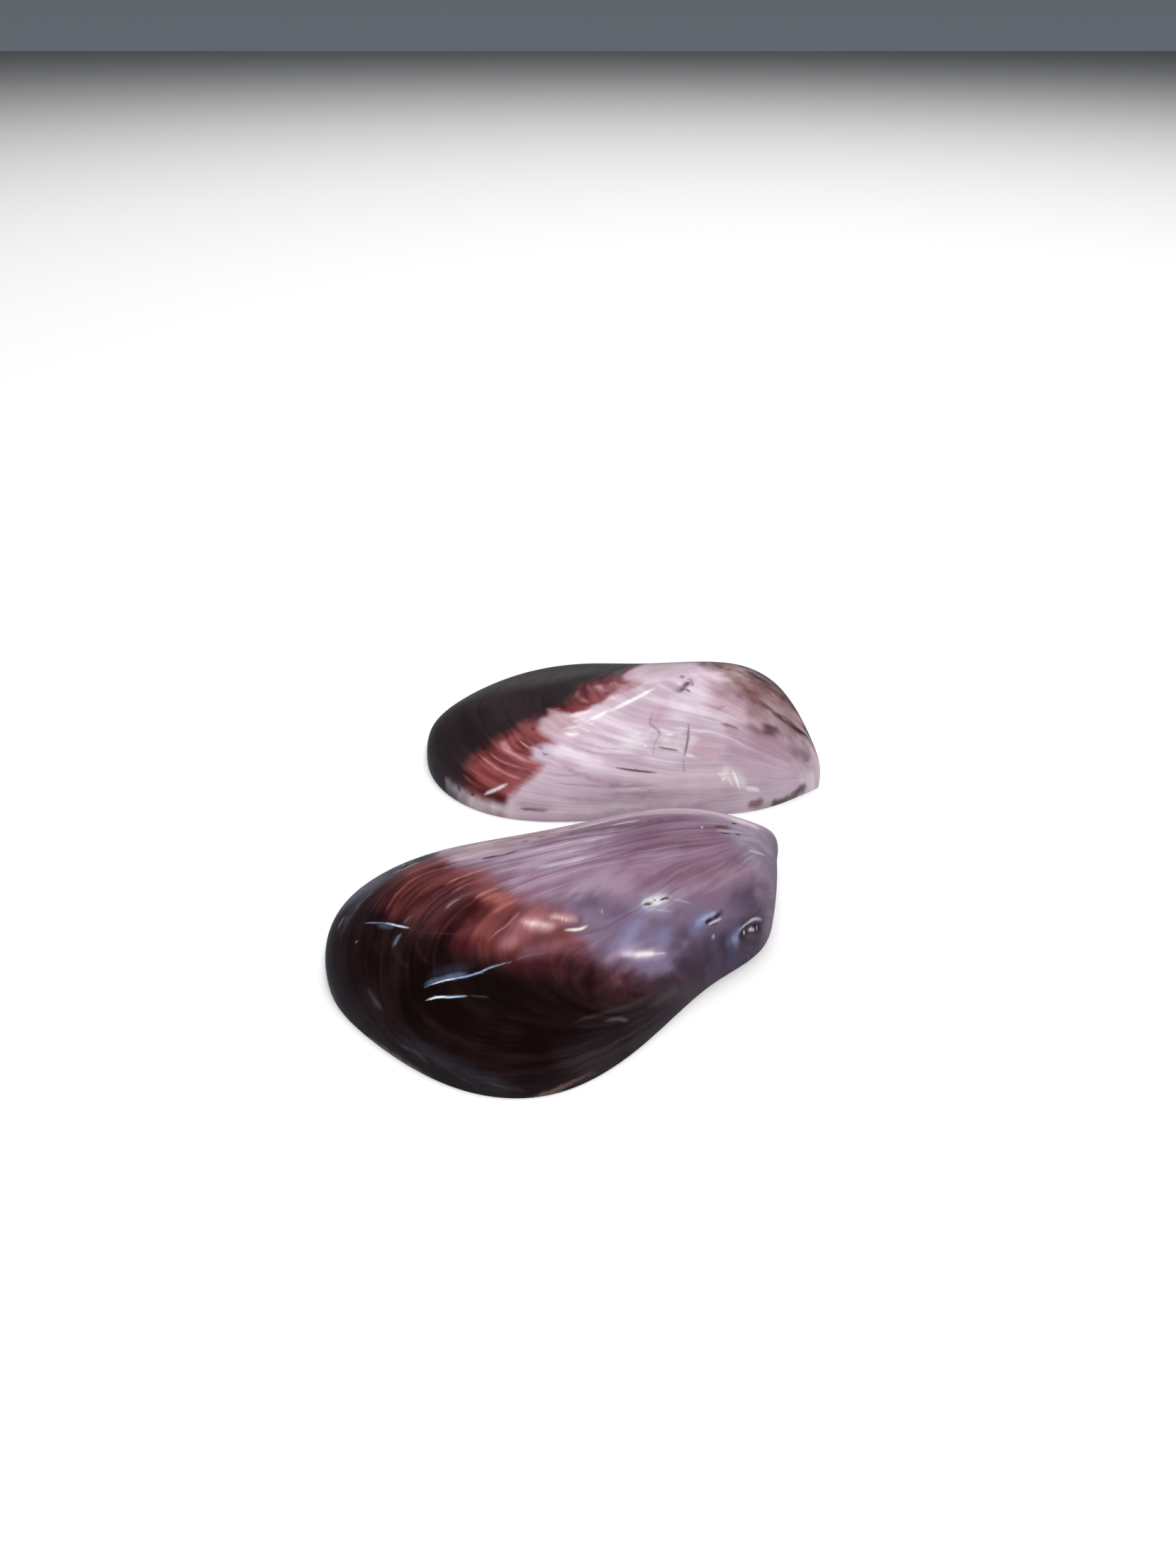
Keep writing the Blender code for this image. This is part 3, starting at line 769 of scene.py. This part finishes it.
def polished_shell(material, streaks, contrast):
    """Polished outer layers: painted colour, with painted glints and sheens among it, broken up by growth
    streaks, under a clear gloss.
    """
    material.use_nodes = True
    tree = material.node_tree
    growth = add_node(tree, "Attribute", attribute_name="growth")
    layers = add_node(tree, "Attribute", attribute_name="layers")
    firm = add_node(tree, "Attribute", attribute_name="firm")
    pattern = tree.nodes.new("ShaderNodeGroup")
    pattern.node_tree = streaks
    fill_inputs(tree, pattern, {"Growth": growth["Vector"], "Lines": 14.0, "Firm": firm["Fac"]})
    streak, grain = pattern.outputs["Streak"], pattern.outputs["Grain"]
    shade = add_node(tree, "MapRange", {
        "Value": streak, "From Min": 0.35, "From Max": 0.65,
        "To Min": 1 - contrast, "To Max": 1 + contrast})
    colour = add_node(tree, "VectorMath", {0: layers["Color"], "Scale": shade[0]}, operation="SCALE")
    gloss = add_node(tree, "MapRange", {
        "Value": grain, "From Min": 0.35, "From Max": 0.65, "To Min": 0.04, "To Max": 0.08})
    worn = add_node(tree, "Math", {0: layers["Alpha"], 1: 0.6, 2: gloss[0]},
                    operation="MULTIPLY_ADD", use_clamp=True)
    bump = add_node(tree, "Bump", {"Strength": 0.05, "Distance": 0.0002, "Height": streak})
    fill_inputs(tree, tree.nodes["Principled BSDF"], {
        "Base Color": colour[0], "Roughness": worn[0], "Normal": bump[0],
        "Coat Weight": 0.3, "Coat Roughness": 0.04})


def nacre(material, streaks):
    """Mother-of-pearl of the hollow: pale blue and rose, mottled by a fine grain."""
    material.use_nodes = True
    tree = material.node_tree
    growth = add_node(tree, "Attribute", attribute_name="growth")
    pattern = tree.nodes.new("ShaderNodeGroup")
    pattern.node_tree = streaks
    fill_inputs(tree, pattern, {"Growth": growth["Vector"], "Lines": 6.0, "Firm": 1.0})
    ramp = tree.nodes.new("ShaderNodeValToRGB")
    for stop, position, colour in zip(ramp.color_ramp.elements, (0.35, 0.65),
                                      ((0.45, 0.50, 0.62, 1), (0.78, 0.72, 0.74, 1))):
        stop.position = position
        stop.color = colour
    fill_inputs(tree, ramp, {"Fac": pattern.outputs["Grain"]})
    gloss = add_node(tree, "MapRange", {
        "Value": pattern.outputs["Grain"], "To Min": 0.15, "To Max": 0.35})
    fill_inputs(tree, tree.nodes["Principled BSDF"], {
        "Base Color": ramp.outputs["Color"], "Roughness": gloss[0]})


streaks = growth_streaks()
polished_shell(right_valve.data.materials[0], streaks, 0.22)
nacre(right_valve.data.materials[1], streaks)
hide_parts("right_valve")
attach(right_valve, "root")


# Left valve
# The other half of the same shell, the mirror image of the first. It is polished down
# further, to the pale lilac layer, and only its hind third keeps the dark outer one.

LEFT_POLE = (37.5, -5.5)
LEFT_LINES = (
    (33.6, -4.6, 29.8, -4.6, 26.5, -5.4, 23.2, -6.7, 20.2, -9.2, 19.8, -11.7, 21.9, -13.3, 26.5, -13.3, 32.3,
     -10.8),
    (32.3, -3.3, 25.7, -2.3, 19, -2.1, 11.5, -3.3, 5.2, -8.3, 4, -14.6, 8.2, -18.8, 18.2, -18.8, 29.8,
     -14.2),
    (31.5, -1.7, 22.3, 1.2, 12.3, 3.3, 1.1, 2.5, -8.5, -4.6, -10.2, -14.2, -3.9, -21.2, 11.5, -22.1, 28.6,
     -16),
    (30.2, 0.6, 19.8, 5.4, 7.3, 8.8, -8.5, 7.9, -20.6, -0.8, -21, -14.2, -11.4, -24.6, 9.4, -23.8, 28.2,
     -17.3),
    (29.8, 2.1, 19, 7.7, 4.4, 12.1, -15.2, 13.3, -30.2, 0.4, -27.7, -17.1, -13.5, -27.9, 9, -25, 28.2, -18),
)
LEFT_EDGE_TURNS = (0, 1.6, 2.7, 4.0, 5.7, 8.0, 9.9, 11.1, 12.6, 14.2, 16)
LEFT_QUIET = ((25, -9, 15, 7.5), (35, -6, 5, 5), (6, -11, 9, 5))
LEFT_BASE = (228, 208, 221, 198, 173, 189)
LEFT_WASHES = (
    (168, 147, 160, 200, 180, 194, 1.8, 0.8, 0.9, -16, 24, -13, 14.5, -4, 12, 4, 11.2, 12, 8.6, 20, 5.6, 27,
     2.2, 38, -3, 40, 6, 20, 16),
    (168, 134, 150, 200, 172, 189, 1.8, 0.8, 0.85, 20, 4.5, 26, 3, 33, -1.6, 31, -4, 26, -2.4, 20, 0),
    (232, 216, 228, 200, 176, 193, 1.5, 1, 0.9, -13, 9.5, -9, 7, -4, 7.6, 1, 4, 7, 3.6, 13, 4.5, 19, 3.8, 20,
     6, 12, 7.4, 4, 7.6, -4, 10, -10, 9.8),
    (230, 218, 232, 208, 186, 204, 1.4, 0.8, 0.85, 9, -2, 13, -0.4, 18, -0.6, 18, 1.4, 13, 2, 9, 0.4),
    (196, 166, 178, 158, 122, 130, 1.8, 0.8, 0.85, 17, -1, 22, -1, 28, -3.2, 34, -5.4, 26, -6, 18, -5.4, 14,
     -9),
    (168, 142, 140, 110, 82, 79, 1.6, 0.8, 0.9, 18.5, -5.6, 26, -5.8, 36, -6.2, 34, -14, 24, -18, 10, -18,
     12, -12, 16, -9.4),
    (190, 172, 174, 222, 202, 212, 1.8, 0.8, 0.8, 2, -10, 8, -9.5, 11, -12, 6, -16, 1, -14),
    (174, 138, 144, 204, 172, 177, 1.2, 0.6, 0.8, -14.6, 4, -10, 5, -7, 3, -8, 0.4, -12, -1, -14.6, 1),
    (80, 28, 31, 146, 80, 83, 0.9, 0.7, 1, -16, 24, -15.1, 17.4, -14.3, 16.1, -12.9, 14.5, -11.6, 12.9,
     -10.3, 11.3, -12.7, 10.5, -13.7, 8.3, -11.9, 7.3, -9.7, 7, -11.3, 5.7, -12.9, 4.6, -14, 3.5, -14.5, 1.7,
     -14.3, 0.3, -13.2, -0.7, -14, -2.2, -11.3, -1.3, -8.7, -0.7, -6, -2, -4.4, -3.1, -3.3, -4.5, -0.7, -5.5,
     1.5, -6.6, 2, -7.7, 0.7, -9.3, -1.2, -10.3, -2.3, -12.5, -1.7, -14.3, -0.9, -16.5, 0, -20, 0, -40, -50,
     -40, -50, 24),
    (37, 27, 30, 47, 36, 39, 2.4, 0.9, 1, -23, 24, -23.4, 16, -24.2, 12.8, -22.8, 10.8, -21, 9.1, -20.1, 7.3,
     -19, 5.1, -17.2, 2.9, -15, 1.3, -13.8, -1.3, -12, -3.2, -9.8, -4.8, -9.6, -7.7, -9.6, -10.6, -6, -12.6,
     -3, -15.4, -1, -19, 0, -24, -2, -40, -50, -40, -50, 24),
    # an olive-grey band along the hind ventral edge: a painted reflection on the dark layer
    (72, 66, 58, 54, 47, 44, 2.6, 0.6, 0.85, -34, -3, -28, -6.4, -20, -11, -12, -14.6, -6, -16.4, -6, -19,
     -16, -20, -28, -14, -34, -8),
    (32, 24, 26, 40, 31, 33, 2.5, 0.6, 0.7, -34, 8, -30, 12, -25, 9, -23, 3, -26, -2, -32, 0),
)
LEFT_STROKES = (
    # streaks of the crimson layer
    (134, 58, 62, 1.3, 0.5, 0.7, -22.5, 13.4, -19, 14.6, -16, 15.4),
    (112, 40, 44, 1, 0.5, 0.7, -22, 10.2, -19.6, 11.4, -17, 12.4),
    (110, 50, 54, 0.7, 0.3, 0.8, -17.4, 3, -16.2, 4.8, -14.8, 6.4, -13.2, 7.4),
    (106, 44, 48, 0.5, 0.3, 0.8, -17, 8.6, -15, 9.4, -12.8, 9.9),
    (104, 40, 44, 0.3, 0.1, 0.8, -21.6, 8.4, -20.6, 9.8, -18.8, 10.8),
    (198, 130, 126, 0.24, 0.05, 0.95, -23.4, 10.8, -20.6, 12.3, -18, 13.5, -16, 14.1, -13.8, 14.3),
    (152, 84, 84, 0.2, 0.05, 0.8, -22, 12.6, -19.6, 13.6, -17.6, 14.4),
    (204, 152, 156, 0.32, 0.1, 0.9, -20.2, 7.4, -19, 8.9, -17, 9.8, -15, 10.6, -11.8, 11.4),
    (196, 140, 140, 0.7, 0.2, 0.8, -19.8, 7.2, -18.8, 8.4, -17.4, 9.3),
    (160, 88, 84, 0.4, 0.1, 0.85, -19.2, 5.4, -18.4, 6.6, -17, 8, -15.6, 8.8),
    (158, 92, 92, 0.35, 0.1, 0.8, -18.6, 4.2, -17.8, 5.5, -16.4, 7),
    (162, 88, 82, 0.22, 0.05, 0.8, -24.8, 13.2, -22, 14.6, -19.5, 15.6, -17.4, 16),
    (140, 74, 74, 0.2, 0.05, 0.7, -25, 14.6, -22.6, 16, -20, 16.9),
    (138, 80, 84, 0.2, 0.05, 0.7, -16, 5.4, -14.6, 6.8, -13, 8),
    (160, 94, 102, 0.5, 0.1, 0.6, -14.8, 17.4, -13.6, 15.5, -12, 13.4, -10.2, 11.2),
    (122, 58, 64, 0.5, 0.3, 0.85, -15, 4.6, -13, 5.8, -10.4, 6.6),
    (60, 28, 38, 0.5, 0.1, 0.95, -15.5, 3.3, -14.7, 4),
    (98, 38, 42, 0.4, 0.15, 0.85, -22.4, 9.6, -20, 11.4, -17.4, 12.6, -14, 13.2),
    (106, 44, 48, 0.45, 0.15, 0.8, -23.6, 12.2, -21, 14, -18.4, 15, -15, 15.4),
    (98, 42, 48, 0.45, 0.15, 0.8, -22.6, 15.6, -20, 16.7, -17, 17.2),
    (104, 42, 46, 0.32, 0.1, 0.85, -19.6, 6.2, -18, 8, -16, 9.2, -13.4, 9.9),
    (184, 122, 122, 0.18, 0.05, 0.8, -21.8, 9.9, -19.6, 11.3, -16.8, 12.1, -12.6, 12.6),
    (196, 140, 142, 0.18, 0.05, 0.8, -16.8, 6.6, -15.2, 7.8, -13.2, 8.7),
    (172, 98, 86, 0.6, 0.3, 0.8, -13.6, 0, -12.4, -1.6, -12.6, -2.6),
    (124, 54, 55, 0.6, 0.3, 0.85, -12.4, -1.8, -9, -1.5, -5.8, -2.2),
    (104, 48, 54, 0.6, 0.4, 0.8, -11, -4, -8, -3, -5.4, -3.2),
    (164, 106, 106, 0.35, 0.1, 0.9, -10.2, -8.4, -9.4, -6.2, -8, -4.7, -6.4, -3.7),
    (132, 70, 73, 0.5, 0.2, 0.85, -7.6, -8.2, -6.4, -6, -4.8, -4.6, -3.4, -4),
    (192, 140, 148, 0.8, 0.3, 0.85, -6.6, -10.2, -5.4, -8.4, -3.2, -6.6),
    (198, 148, 152, 0.8, 0.4, 0.7, -4.2, -10.4, -2.4, -8.6, 0.4, -7.6),
    (96, 40, 44, 0.4, 0.2, 0.8, -9.6, -4.6, -8, -3.6, -5.6, -2.8),
    (140, 84, 92, 0.35, 0.2, 0.8, -5.4, -9.6, -4, -7.6, -1.6, -5.8),
    (84, 62, 68, 0.8, 0.3, 0.8, -2.6, -12.8, -3, -15, -2.8, -18),
    (150, 94, 96, 0.3, 0.1, 0.8, -8.8, -11, -8, -9, -6.6, -7),
    (124, 62, 68, 0.35, 0.1, 0.9, -2.6, -13.4, -1.8, -10.4, -0.6, -8.4, 1, -7),
    (142, 78, 82, 0.3, 0.1, 0.8, -4.4, -11.8, -3.2, -9, -1.4, -7),
    (220, 182, 190, 0.4, 0.2, 0.8, -3.4, -4.8, -1.4, -5.2, 1, -5.8),
    (208, 168, 178, 1.5, 0.6, 0.8, -3.4, -5, -1, -6.2, 0.8, -7.6, 0, -9.4),
    (196, 148, 158, 1.3, 0.6, 0.7, -1.4, -7.2, 0.4, -9, -0.6, -11.4, -0.8, -14),
    (92, 36, 38, 0.8, 0.5, 0.7, -21.4, 8.2, -19.6, 6, -17.8, 3.8),
    (84, 34, 37, 0.8, 0.5, 0.7, -11.4, -2.8, -9.4, -4.4, -8.8, -7.4),
    (96, 40, 43, 0.7, 0.4, 0.7, -24, 13, -22.6, 11.2, -20.6, 9.4),
    (86, 72, 80, 0.6, 0.2, 0.85, -3, -11, -3.4, -13.4, -4.6, -16.4),
    (92, 60, 62, 0.5, 0.3, 0.7, -9, -11, -8, -13.6, -5.4, -15.4),
    (198, 166, 184, 1.3, 0.6, 0.7, 7, 2.2, 7.8, 0.6, 8.4, -1.2),
    (208, 182, 198, 1.6, 0.6, 0.6, 2, 1.6, 4, 0.8, 8, -1),
    (196, 174, 188, 1.6, 0.6, 0.6, 0, 9.6, 3, 8.4, 7, 7.6),
    (208, 170, 176, 1.2, 0.5, 0.6, 13.6, 4.6, 16, 4, 19, 3),
    (200, 170, 186, 1.6, 0.6, 0.6, 6, -8, 9, -9.4, 12, -9),
    (224, 208, 221, 1.2, 0.6, 0.6, 8.4, -2.6, 12, -2.2, 15, -2.6),
    # marks and scratches of the pale layer, and highlights painted in on it: its white clouds and the glints
    # on its crest
    (248, 240, 240, 0.2, 0.1, 0.9, -8.2, 1.6, -7, 1.2, -5.8, 0.4),
    (244, 234, 236, 0.16, 0.1, 0.9, -7.4, 3, -6.4, 2.6),
    (252, 246, 244, 0.2, 0.1, 0.9, -4.8, 2.4, -3.8, 1.9),
    (240, 228, 234, 0.3, 0.2, 0.8, -9.4, 3.4, -8, 3, -6.6, 2.9),
    (250, 244, 246, 0.16, 0, 0.9, 4.4, 4.2, 5.2, 4),
    (250, 244, 246, 0.14, 0, 0.9, 6.2, 5.9, 7, 5.8),
    (250, 244, 246, 0.16, 0, 0.9, 9.8, 3.7, 11, 3.5),
    (244, 232, 234, 0.5, 0.1, 0.6, -6.6, 2.6, -3.6, 0.2, 1, -2.6, 5.6, -5.6),
    (255, 255, 248, 0.42, 0, 1, -4.8, 1.2, -3.6, 0.4, -2.2, -0.8),
    (255, 255, 250, 0.5, 0, 1, -1.2, -1, 1, -2.4, 3.2, -3.8, 5.5, -5.5),
    (246, 230, 232, 0.6, 0.2, 0.9, -9.2, 0, -7.4, -0.4, -5, -1.4),
    (240, 214, 218, 0.4, 0.1, 0.85, -3.4, -4, -1.6, -4.4),
    (194, 178, 202, 0.8, 0.3, 0.85, -12.2, 8.2, -11, 9, -9.4, 9.8),
    (128, 110, 130, 0.2, 0, 0.9, -11.6, 8.8, -11, 9.3, -10.4, 9),
    (112, 92, 108, 0.36, 0.1, 0.8, -13.2, 7.8, -12.4, 7.9, -11.6, 8.2),
    (232, 222, 232, 0.8, 0.5, 0.8, -9, 6.8, -6, 8.6, -2.6, 9.2),
    (190, 162, 178, 0.7, 0.4, 0.7, -7, 5.6, -4, 6.6, 0, 7.4),
    (184, 158, 174, 0.18, 0.05, 0.8, -6, 7.4, -2, 8, 3, 7.8, 8, 7),
    (190, 164, 180, 0.18, 0.05, 0.8, -5, 6.2, -1, 7, 3, 6.9),
    (246, 236, 236, 0.4, 0.1, 0.9, -8.6, 4.5, -7, 4.7, -6.2, 4.4),
    (240, 230, 238, 0.2, 0, 0.8, -7, 2.6, -5, 3.6, -3.8, 4.2),
    (244, 233, 240, 1.5, 0.5, 0.9, 3, 5.8, 4.6, 5.2, 6.4, 4.6),
    (240, 228, 236, 0.7, 0.3, 0.8, 7.4, 4.6, 9.6, 4.4, 12.4, 4.6),
    (250, 240, 242, 0.15, 0, 0.9, 13.8, 5.4, 14.6, 5.3, 15.4, 5.1),
    (240, 230, 236, 0.3, 0.1, 0.9, 6, 3.8, 8, 3.2, 10.6, 3.3, 12.8, 2.8),
    (240, 230, 238, 0.2, 0.05, 0.9, 10, 2.6, 14, 2.3, 18, 1.6, 23.6, 0.9),
    (232, 220, 228, 0.2, 0.05, 0.8, 9, 5, 11, 5.3, 14, 5.2, 17, 5.4),
    (190, 156, 170, 0.6, 0.3, 0.7, 6.8, 2.4, 7.8, 1.2, 7, -0.6),
    (236, 222, 230, 1, 0.4, 0.8, 11.4, 4.4, 13.4, 3.8, 15.6, 3.4),
    (238, 226, 232, 0.8, 0.3, 0.8, 19.4, 5.2, 22, 4.6, 25, 4.2),
    (208, 172, 180, 0.7, 0.3, 0.75, 14.6, 4.6, 18.2, 3.6),
    (236, 226, 236, 0.5, 0.3, 0.7, 11, -1.4, 13, -0.6, 16, -0.4),
    (240, 226, 228, 0.6, 0.2, 0.7, 20, 5.2, 21.6, 4.8, 23, 4.6),
    (250, 243, 238, 0.16, 0, 0.95, 19.7, 5.3, 20.6, 5.1, 21.3, 4.6),
    (252, 246, 240, 0.14, 0, 0.95, 20.5, 5.6, 21.2, 5.2),
    (255, 250, 244, 0.22, 0, 1, 22, 4.1, 23, 4.6, 23.9, 5),
    (246, 238, 236, 0.12, 0, 0.9, 21.6, 5, 22.6, 5.3),
    (238, 226, 232, 0.16, 0, 0.9, 24.6, 4.6, 26, 4, 27.4, 3.4),
    (168, 132, 152, 0.4, 0.1, 0.8, -8, 10.6, -3.4, 11.9, 2, 11.8, 4, 11.2),
    (158, 134, 148, 0.5, 0.2, 0.7, -6, 15.6, 0, 13.8, 8, 10.9, 16, 8.2),
    (148, 126, 140, 0.18, 0.05, 0.8, -2, 16, 6, 12.8, 12, 10.4, 22, 6.6),
    (152, 130, 144, 0.16, 0.05, 0.8, -8, 14, -2, 13, 5, 11.2, 12, 9),
    (214, 200, 210, 0.2, 0.05, 0.8, 2, 12.6, 10, 9.8, 18, 6.8),
    (206, 190, 202, 0.18, 0.05, 0.7, -9, 15.6, -3, 14.4, 3, 12.9),
    (224, 204, 213, 1, 0.5, 0.6, 8, 9.8, 14, 7.9, 21, 5.3),
    (160, 140, 152, 0.18, 0.05, 0.7, -10, 12.6, -6, 12.4, -2, 11.2),
    (116, 100, 108, 0.75, 0.25, 0.95, 9.6, -5, 10.2, -4.5, 10.9, -5.4, 11.5, -6.2),
    (78, 66, 73, 0.4, 0.15, 0.95, 9.9, -4.3, 10.6, -4.5, 11.1, -5.4),
    (72, 59, 66, 0.45, 0.15, 1, 10.9, -5.8, 11.4, -6.2),
    (170, 150, 161, 0.25, 0, 0.8, 10.1, -5.1, 10.4, -5.5),
    (112, 95, 104, 0.2, 0, 0.9, 11.2, -4.7, 12.4, -3.9),
    (98, 82, 90, 0.25, 0.05, 0.9, 12.3, -5.2, 12.1, -6.2, 11.5, -7, 10.9, -7.2),
    (140, 99, 109, 0.4, 0, 0.9, 10.2, -7.6, 9.6, -8.4),
    (136, 92, 106, 0.14, 0, 0.95, 8.7, 5.6, 10.6, 5.5, 12.6, 5.25),
    (138, 92, 108, 0.18, 0, 0.95, 13.5, 5.7, 13.7, 4, 13.2, 1.4),
    (180, 144, 160, 0.18, 0.05, 0.9, 13.6, 5.8, 13.8, 6.6, 14.1, 7.2),
    (166, 128, 148, 0.2, 0.1, 0.9, 8.4, 7, 8.2, 5, 8.6, 3.6, 7, 2.7, 6.4, 1.6, 6.6, -0.6),
    (116, 74, 86, 0.15, 0, 1, 2, 9.7, 5.5, 9.3, 9.6, 8.5),
    (130, 88, 94, 0.2, 0.05, 0.9, 18.6, 0.1, 20.6, -0.3, 22, -0.5),
    (170, 130, 140, 0.14, 0, 0.8, 17.6, -1.6, 18.2, -2.2, 19, -2.5),
    # brown skin left near the beak
    (148, 116, 124, 1.1, 0.9, 0.8, 22.4, -1, 26, -2.2, 29, -3.4, 32, -4.8),
    (104, 75, 81, 0.5, 0.7, 0.9, 23.4, -1.5, 26, -2.2, 28, -3.2, 31, -4.4),
    (92, 66, 72, 0.4, 0.5, 0.9, 25.4, -2.8, 27.4, -3.4, 29, -4),
    (160, 136, 142, 0.5, 0.2, 0.7, 26, -4.4, 29, -4.8, 32, -5.4),
    (112, 84, 86, 0.9, 0.7, 0.8, 21.4, -5, 26, -5.4, 31, -5.9, 35, -6.2),
    (58, 42, 43, 0.4, 0.4, 0.95, 22.6, -5.6, 25, -5.8, 28, -5.9, 31, -6.1, 34.4, -6.3),
    (52, 40, 42, 0.3, 0, 0.95, 31, -6.1, 34, -6.6),
    (124, 82, 84, 0.8, 0.6, 0.85, 20, -4.8, 22, -5.8, 24.4, -6),
    (98, 58, 60, 0.9, 0.8, 0.9, 20.4, -6.6, 22.4, -7.2, 24.6, -8.4, 27.4, -9.6),
    (120, 66, 64, 0.4, 0.1, 0.8, 20.8, -7.6, 22.4, -7),
    (136, 102, 104, 0.9, 0.6, 0.8, 26, -7.2, 30, -7.8, 33, -7.6),
    (128, 92, 94, 1.3, 0.8, 0.85, 19, -7, 22, -8.4, 26, -9.4, 30, -9.2),
    (98, 70, 69, 0.5, 0.4, 0.8, 23, -9.4, 26, -10, 29, -10.4),
    (52, 42, 42, 1.1, 0.4, 0.95, 20.5, -12.2, 23.4, -11.4, 26.4, -11.8),
    (62, 48, 46, 0.75, 0.3, 0.95, 15, -14.6, 20, -14, 25, -13.2, 29, -11.6, 31.4, -9.8, 34, -7.6, 36.4,
     -6.2),
    (186, 158, 160, 0.5, 0.3, 0.6, 18.4, -9.2, 20.6, -9.6, 22.4, -9.4),
    (170, 140, 144, 0.8, 0.3, 0.8, 31.6, -2.6, 34, -4, 36.4, -5.2),
    (148, 114, 120, 0.9, 0.6, 0.7, 22, -2.6, 24.4, -4, 27, -4.6),
    (150, 115, 122, 0.7, 0.5, 0.7, 17, -4, 19.6, -5.6, 22, -6.6),
    (92, 62, 60, 0.9, 0.3, 0.9, 17, -10.8, 15.6, -12.2, 13.8, -14.6),
    (128, 92, 90, 0.8, 0.4, 0.7, 18, -12, 17.6, -14),
    (116, 60, 62, 0.35, 0.1, 0.9, 17.2, -10.6, 18.6, -10.8),
    (76, 56, 54, 0.6, 0.2, 0.9, 28.2, -9.4, 28.8, -11.6),
    (192, 158, 152, 0.8, 0.3, 0.7, 31, -8.4, 32.6, -8.8),
    (92, 68, 64, 0.2, 0, 0.9, 32.6, 0.1, 34, -1.5, 35.4, -3),
    (86, 90, 112, 0.35, 0, 0.95, -18.4, 18.4, -17.6, 18.5),
    (122, 70, 68, 0.16, 0, 0.95, -13, 18.2, -10, 17.8, -7.5, 17.2),
    (208, 196, 204, 0.5, 0.2, 0.9, -28.6, 14.8, -25, 17, -21, 18.3, -17, 18.7, -12, 18.4),
    (212, 199, 208, 0.3, 0.2, 0.8, -12, 18.4, -5, 16.6, 2, 14.1, 10, 11, 20, 7.2),
    (76, 68, 76, 0.3, 0, 0.95, -25.6, 16.2, -24.8, 16.8),
    (66, 52, 56, 0.25, 0, 0.95, -22.4, 17.3, -21.8, 17.5),
    (120, 88, 82, 0.22, 0, 0.9, 25.6, 5.3, 27, 4.5, 28.4, 3.5),
    (84, 60, 58, 0.2, 0, 0.9, 29.6, 2.9, 31, 1.7, 33.4, -0.6),
    (240, 232, 240, 0.24, 0, 0.9, -20, 17.4, -18, 16.6, -16, 15.4),
    (78, 62, 56, 0.4, 0.2, 0.9, 32.8, -8.8, 35, -7.4, 37, -6.2),
    (128, 98, 108, 1.3, 0.4, 0.85, 30.6, -2.8, 33, -3.8, 35.4, -5),
    (206, 190, 198, 0.3, 0.1, 0.7, 34.2, -3.6, 35.8, -4.9, 36.8, -5.8),
)
LEFT_DENTS = (
    (0.15, 0.6, 10.4, -4.4, 10.7, -4.6),
    (0.15, 0.5, 11.2, -5.6, 11.5, -5.9),
)

left_valve = add_valve("left_valve_polished", LEFT_STROKES)
finish_valve(left_valve, LEFT_POLE, LEFT_LINES, LEFT_EDGE_TURNS, LEFT_QUIET, LEFT_BASE, LEFT_WASHES,
             LEFT_STROKES, LEFT_DENTS, (0.35, 0.03), True, (3.887, 18.414), math.radians(-16.1))
polished_shell(left_valve.data.materials[0], streaks, 0.09)
nacre(left_valve.data.materials[1], streaks)
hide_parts("left_valve")
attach(left_valve, "root")


# Table, lights and camera
# A plain pale table top, a soft dim room and two wide soft lamps. The lamps and the table
# top are kept out of reflections, so the polish mirrors the dim room alone.

bpy.ops.object.select_all(action="DESELECT")
bpy.ops.mesh.primitive_plane_add(size=6)
table_top = bpy.context.object
table_top.name = "table_top"
paper = bpy.data.materials.new("pale_paper")
paper.use_nodes = True
fill_inputs(paper.node_tree, paper.node_tree.nodes["Principled BSDF"], {
    "Base Color": (0.92, 0.92, 0.92, 1), "Roughness": 0.9})
table_top.data.materials.append(paper)
table_top.visible_glossy = False

room = bpy.data.worlds.new("room")
room.use_nodes = True
sky = room.node_tree
direction = add_node(sky, "TexCoord")
height = add_node(sky, "SeparateXYZ", {0: direction["Generated"]})
shade = add_node(sky, "MapRange", {"Value": height["Z"], "From Min": -0.1, "From Max": 0.75})
walls = sky.nodes.new("ShaderNodeValToRGB")
walls.color_ramp.elements[0].color = (0.13, 0.145, 0.17, 1)
walls.color_ramp.elements[1].color = (0.02, 0.02, 0.02, 1)
fill_inputs(sky, walls, {"Fac": shade[0]})
fill_inputs(sky, sky.nodes["Background"], {"Color": walls.outputs["Color"]})
bpy.context.scene.world = room


def add_lamp(name, azimuth, elevation, distance, size, power):
    """A soft lamp aimed at the shells; azimuth is from the back (+Y) towards +X."""
    lamp = bpy.data.lights.new(name, "AREA")
    lamp.size = size
    lamp.energy = power
    holder = bpy.data.objects.new(name, lamp)
    a, e = math.radians(azimuth), math.radians(elevation)
    way = Vector((math.sin(a) * math.cos(e), math.cos(a) * math.cos(e), math.sin(e)))
    aim = (-way).to_track_quat("-Z", "Y").to_matrix().to_4x4()
    holder.matrix_world = Matrix.Translation(distance * way) @ aim
    holder.visible_glossy = False
    bpy.context.scene.collection.objects.link(holder)


add_lamp("wide_lamp", 20, 75, 1.5, 1.2, 26)
add_lamp("front_lamp", 170, 45, 1.5, 0.8, 8)

camera = bpy.data.cameras.new("camera")
camera.sensor_fit = "HORIZONTAL"
camera.sensor_width = 36
camera.lens = 29.27
camera.clip_start = 0.01
holder = bpy.data.objects.new("camera", camera)
holder.location = (-0.001513, -0.12351, 0.11348)
holder.rotation_euler = (math.radians(90 - 39.55), 0, 0)
bpy.context.scene.collection.objects.link(holder)
bpy.context.scene.camera = holder
bpy.context.scene.view_settings.view_transform = "Standard"
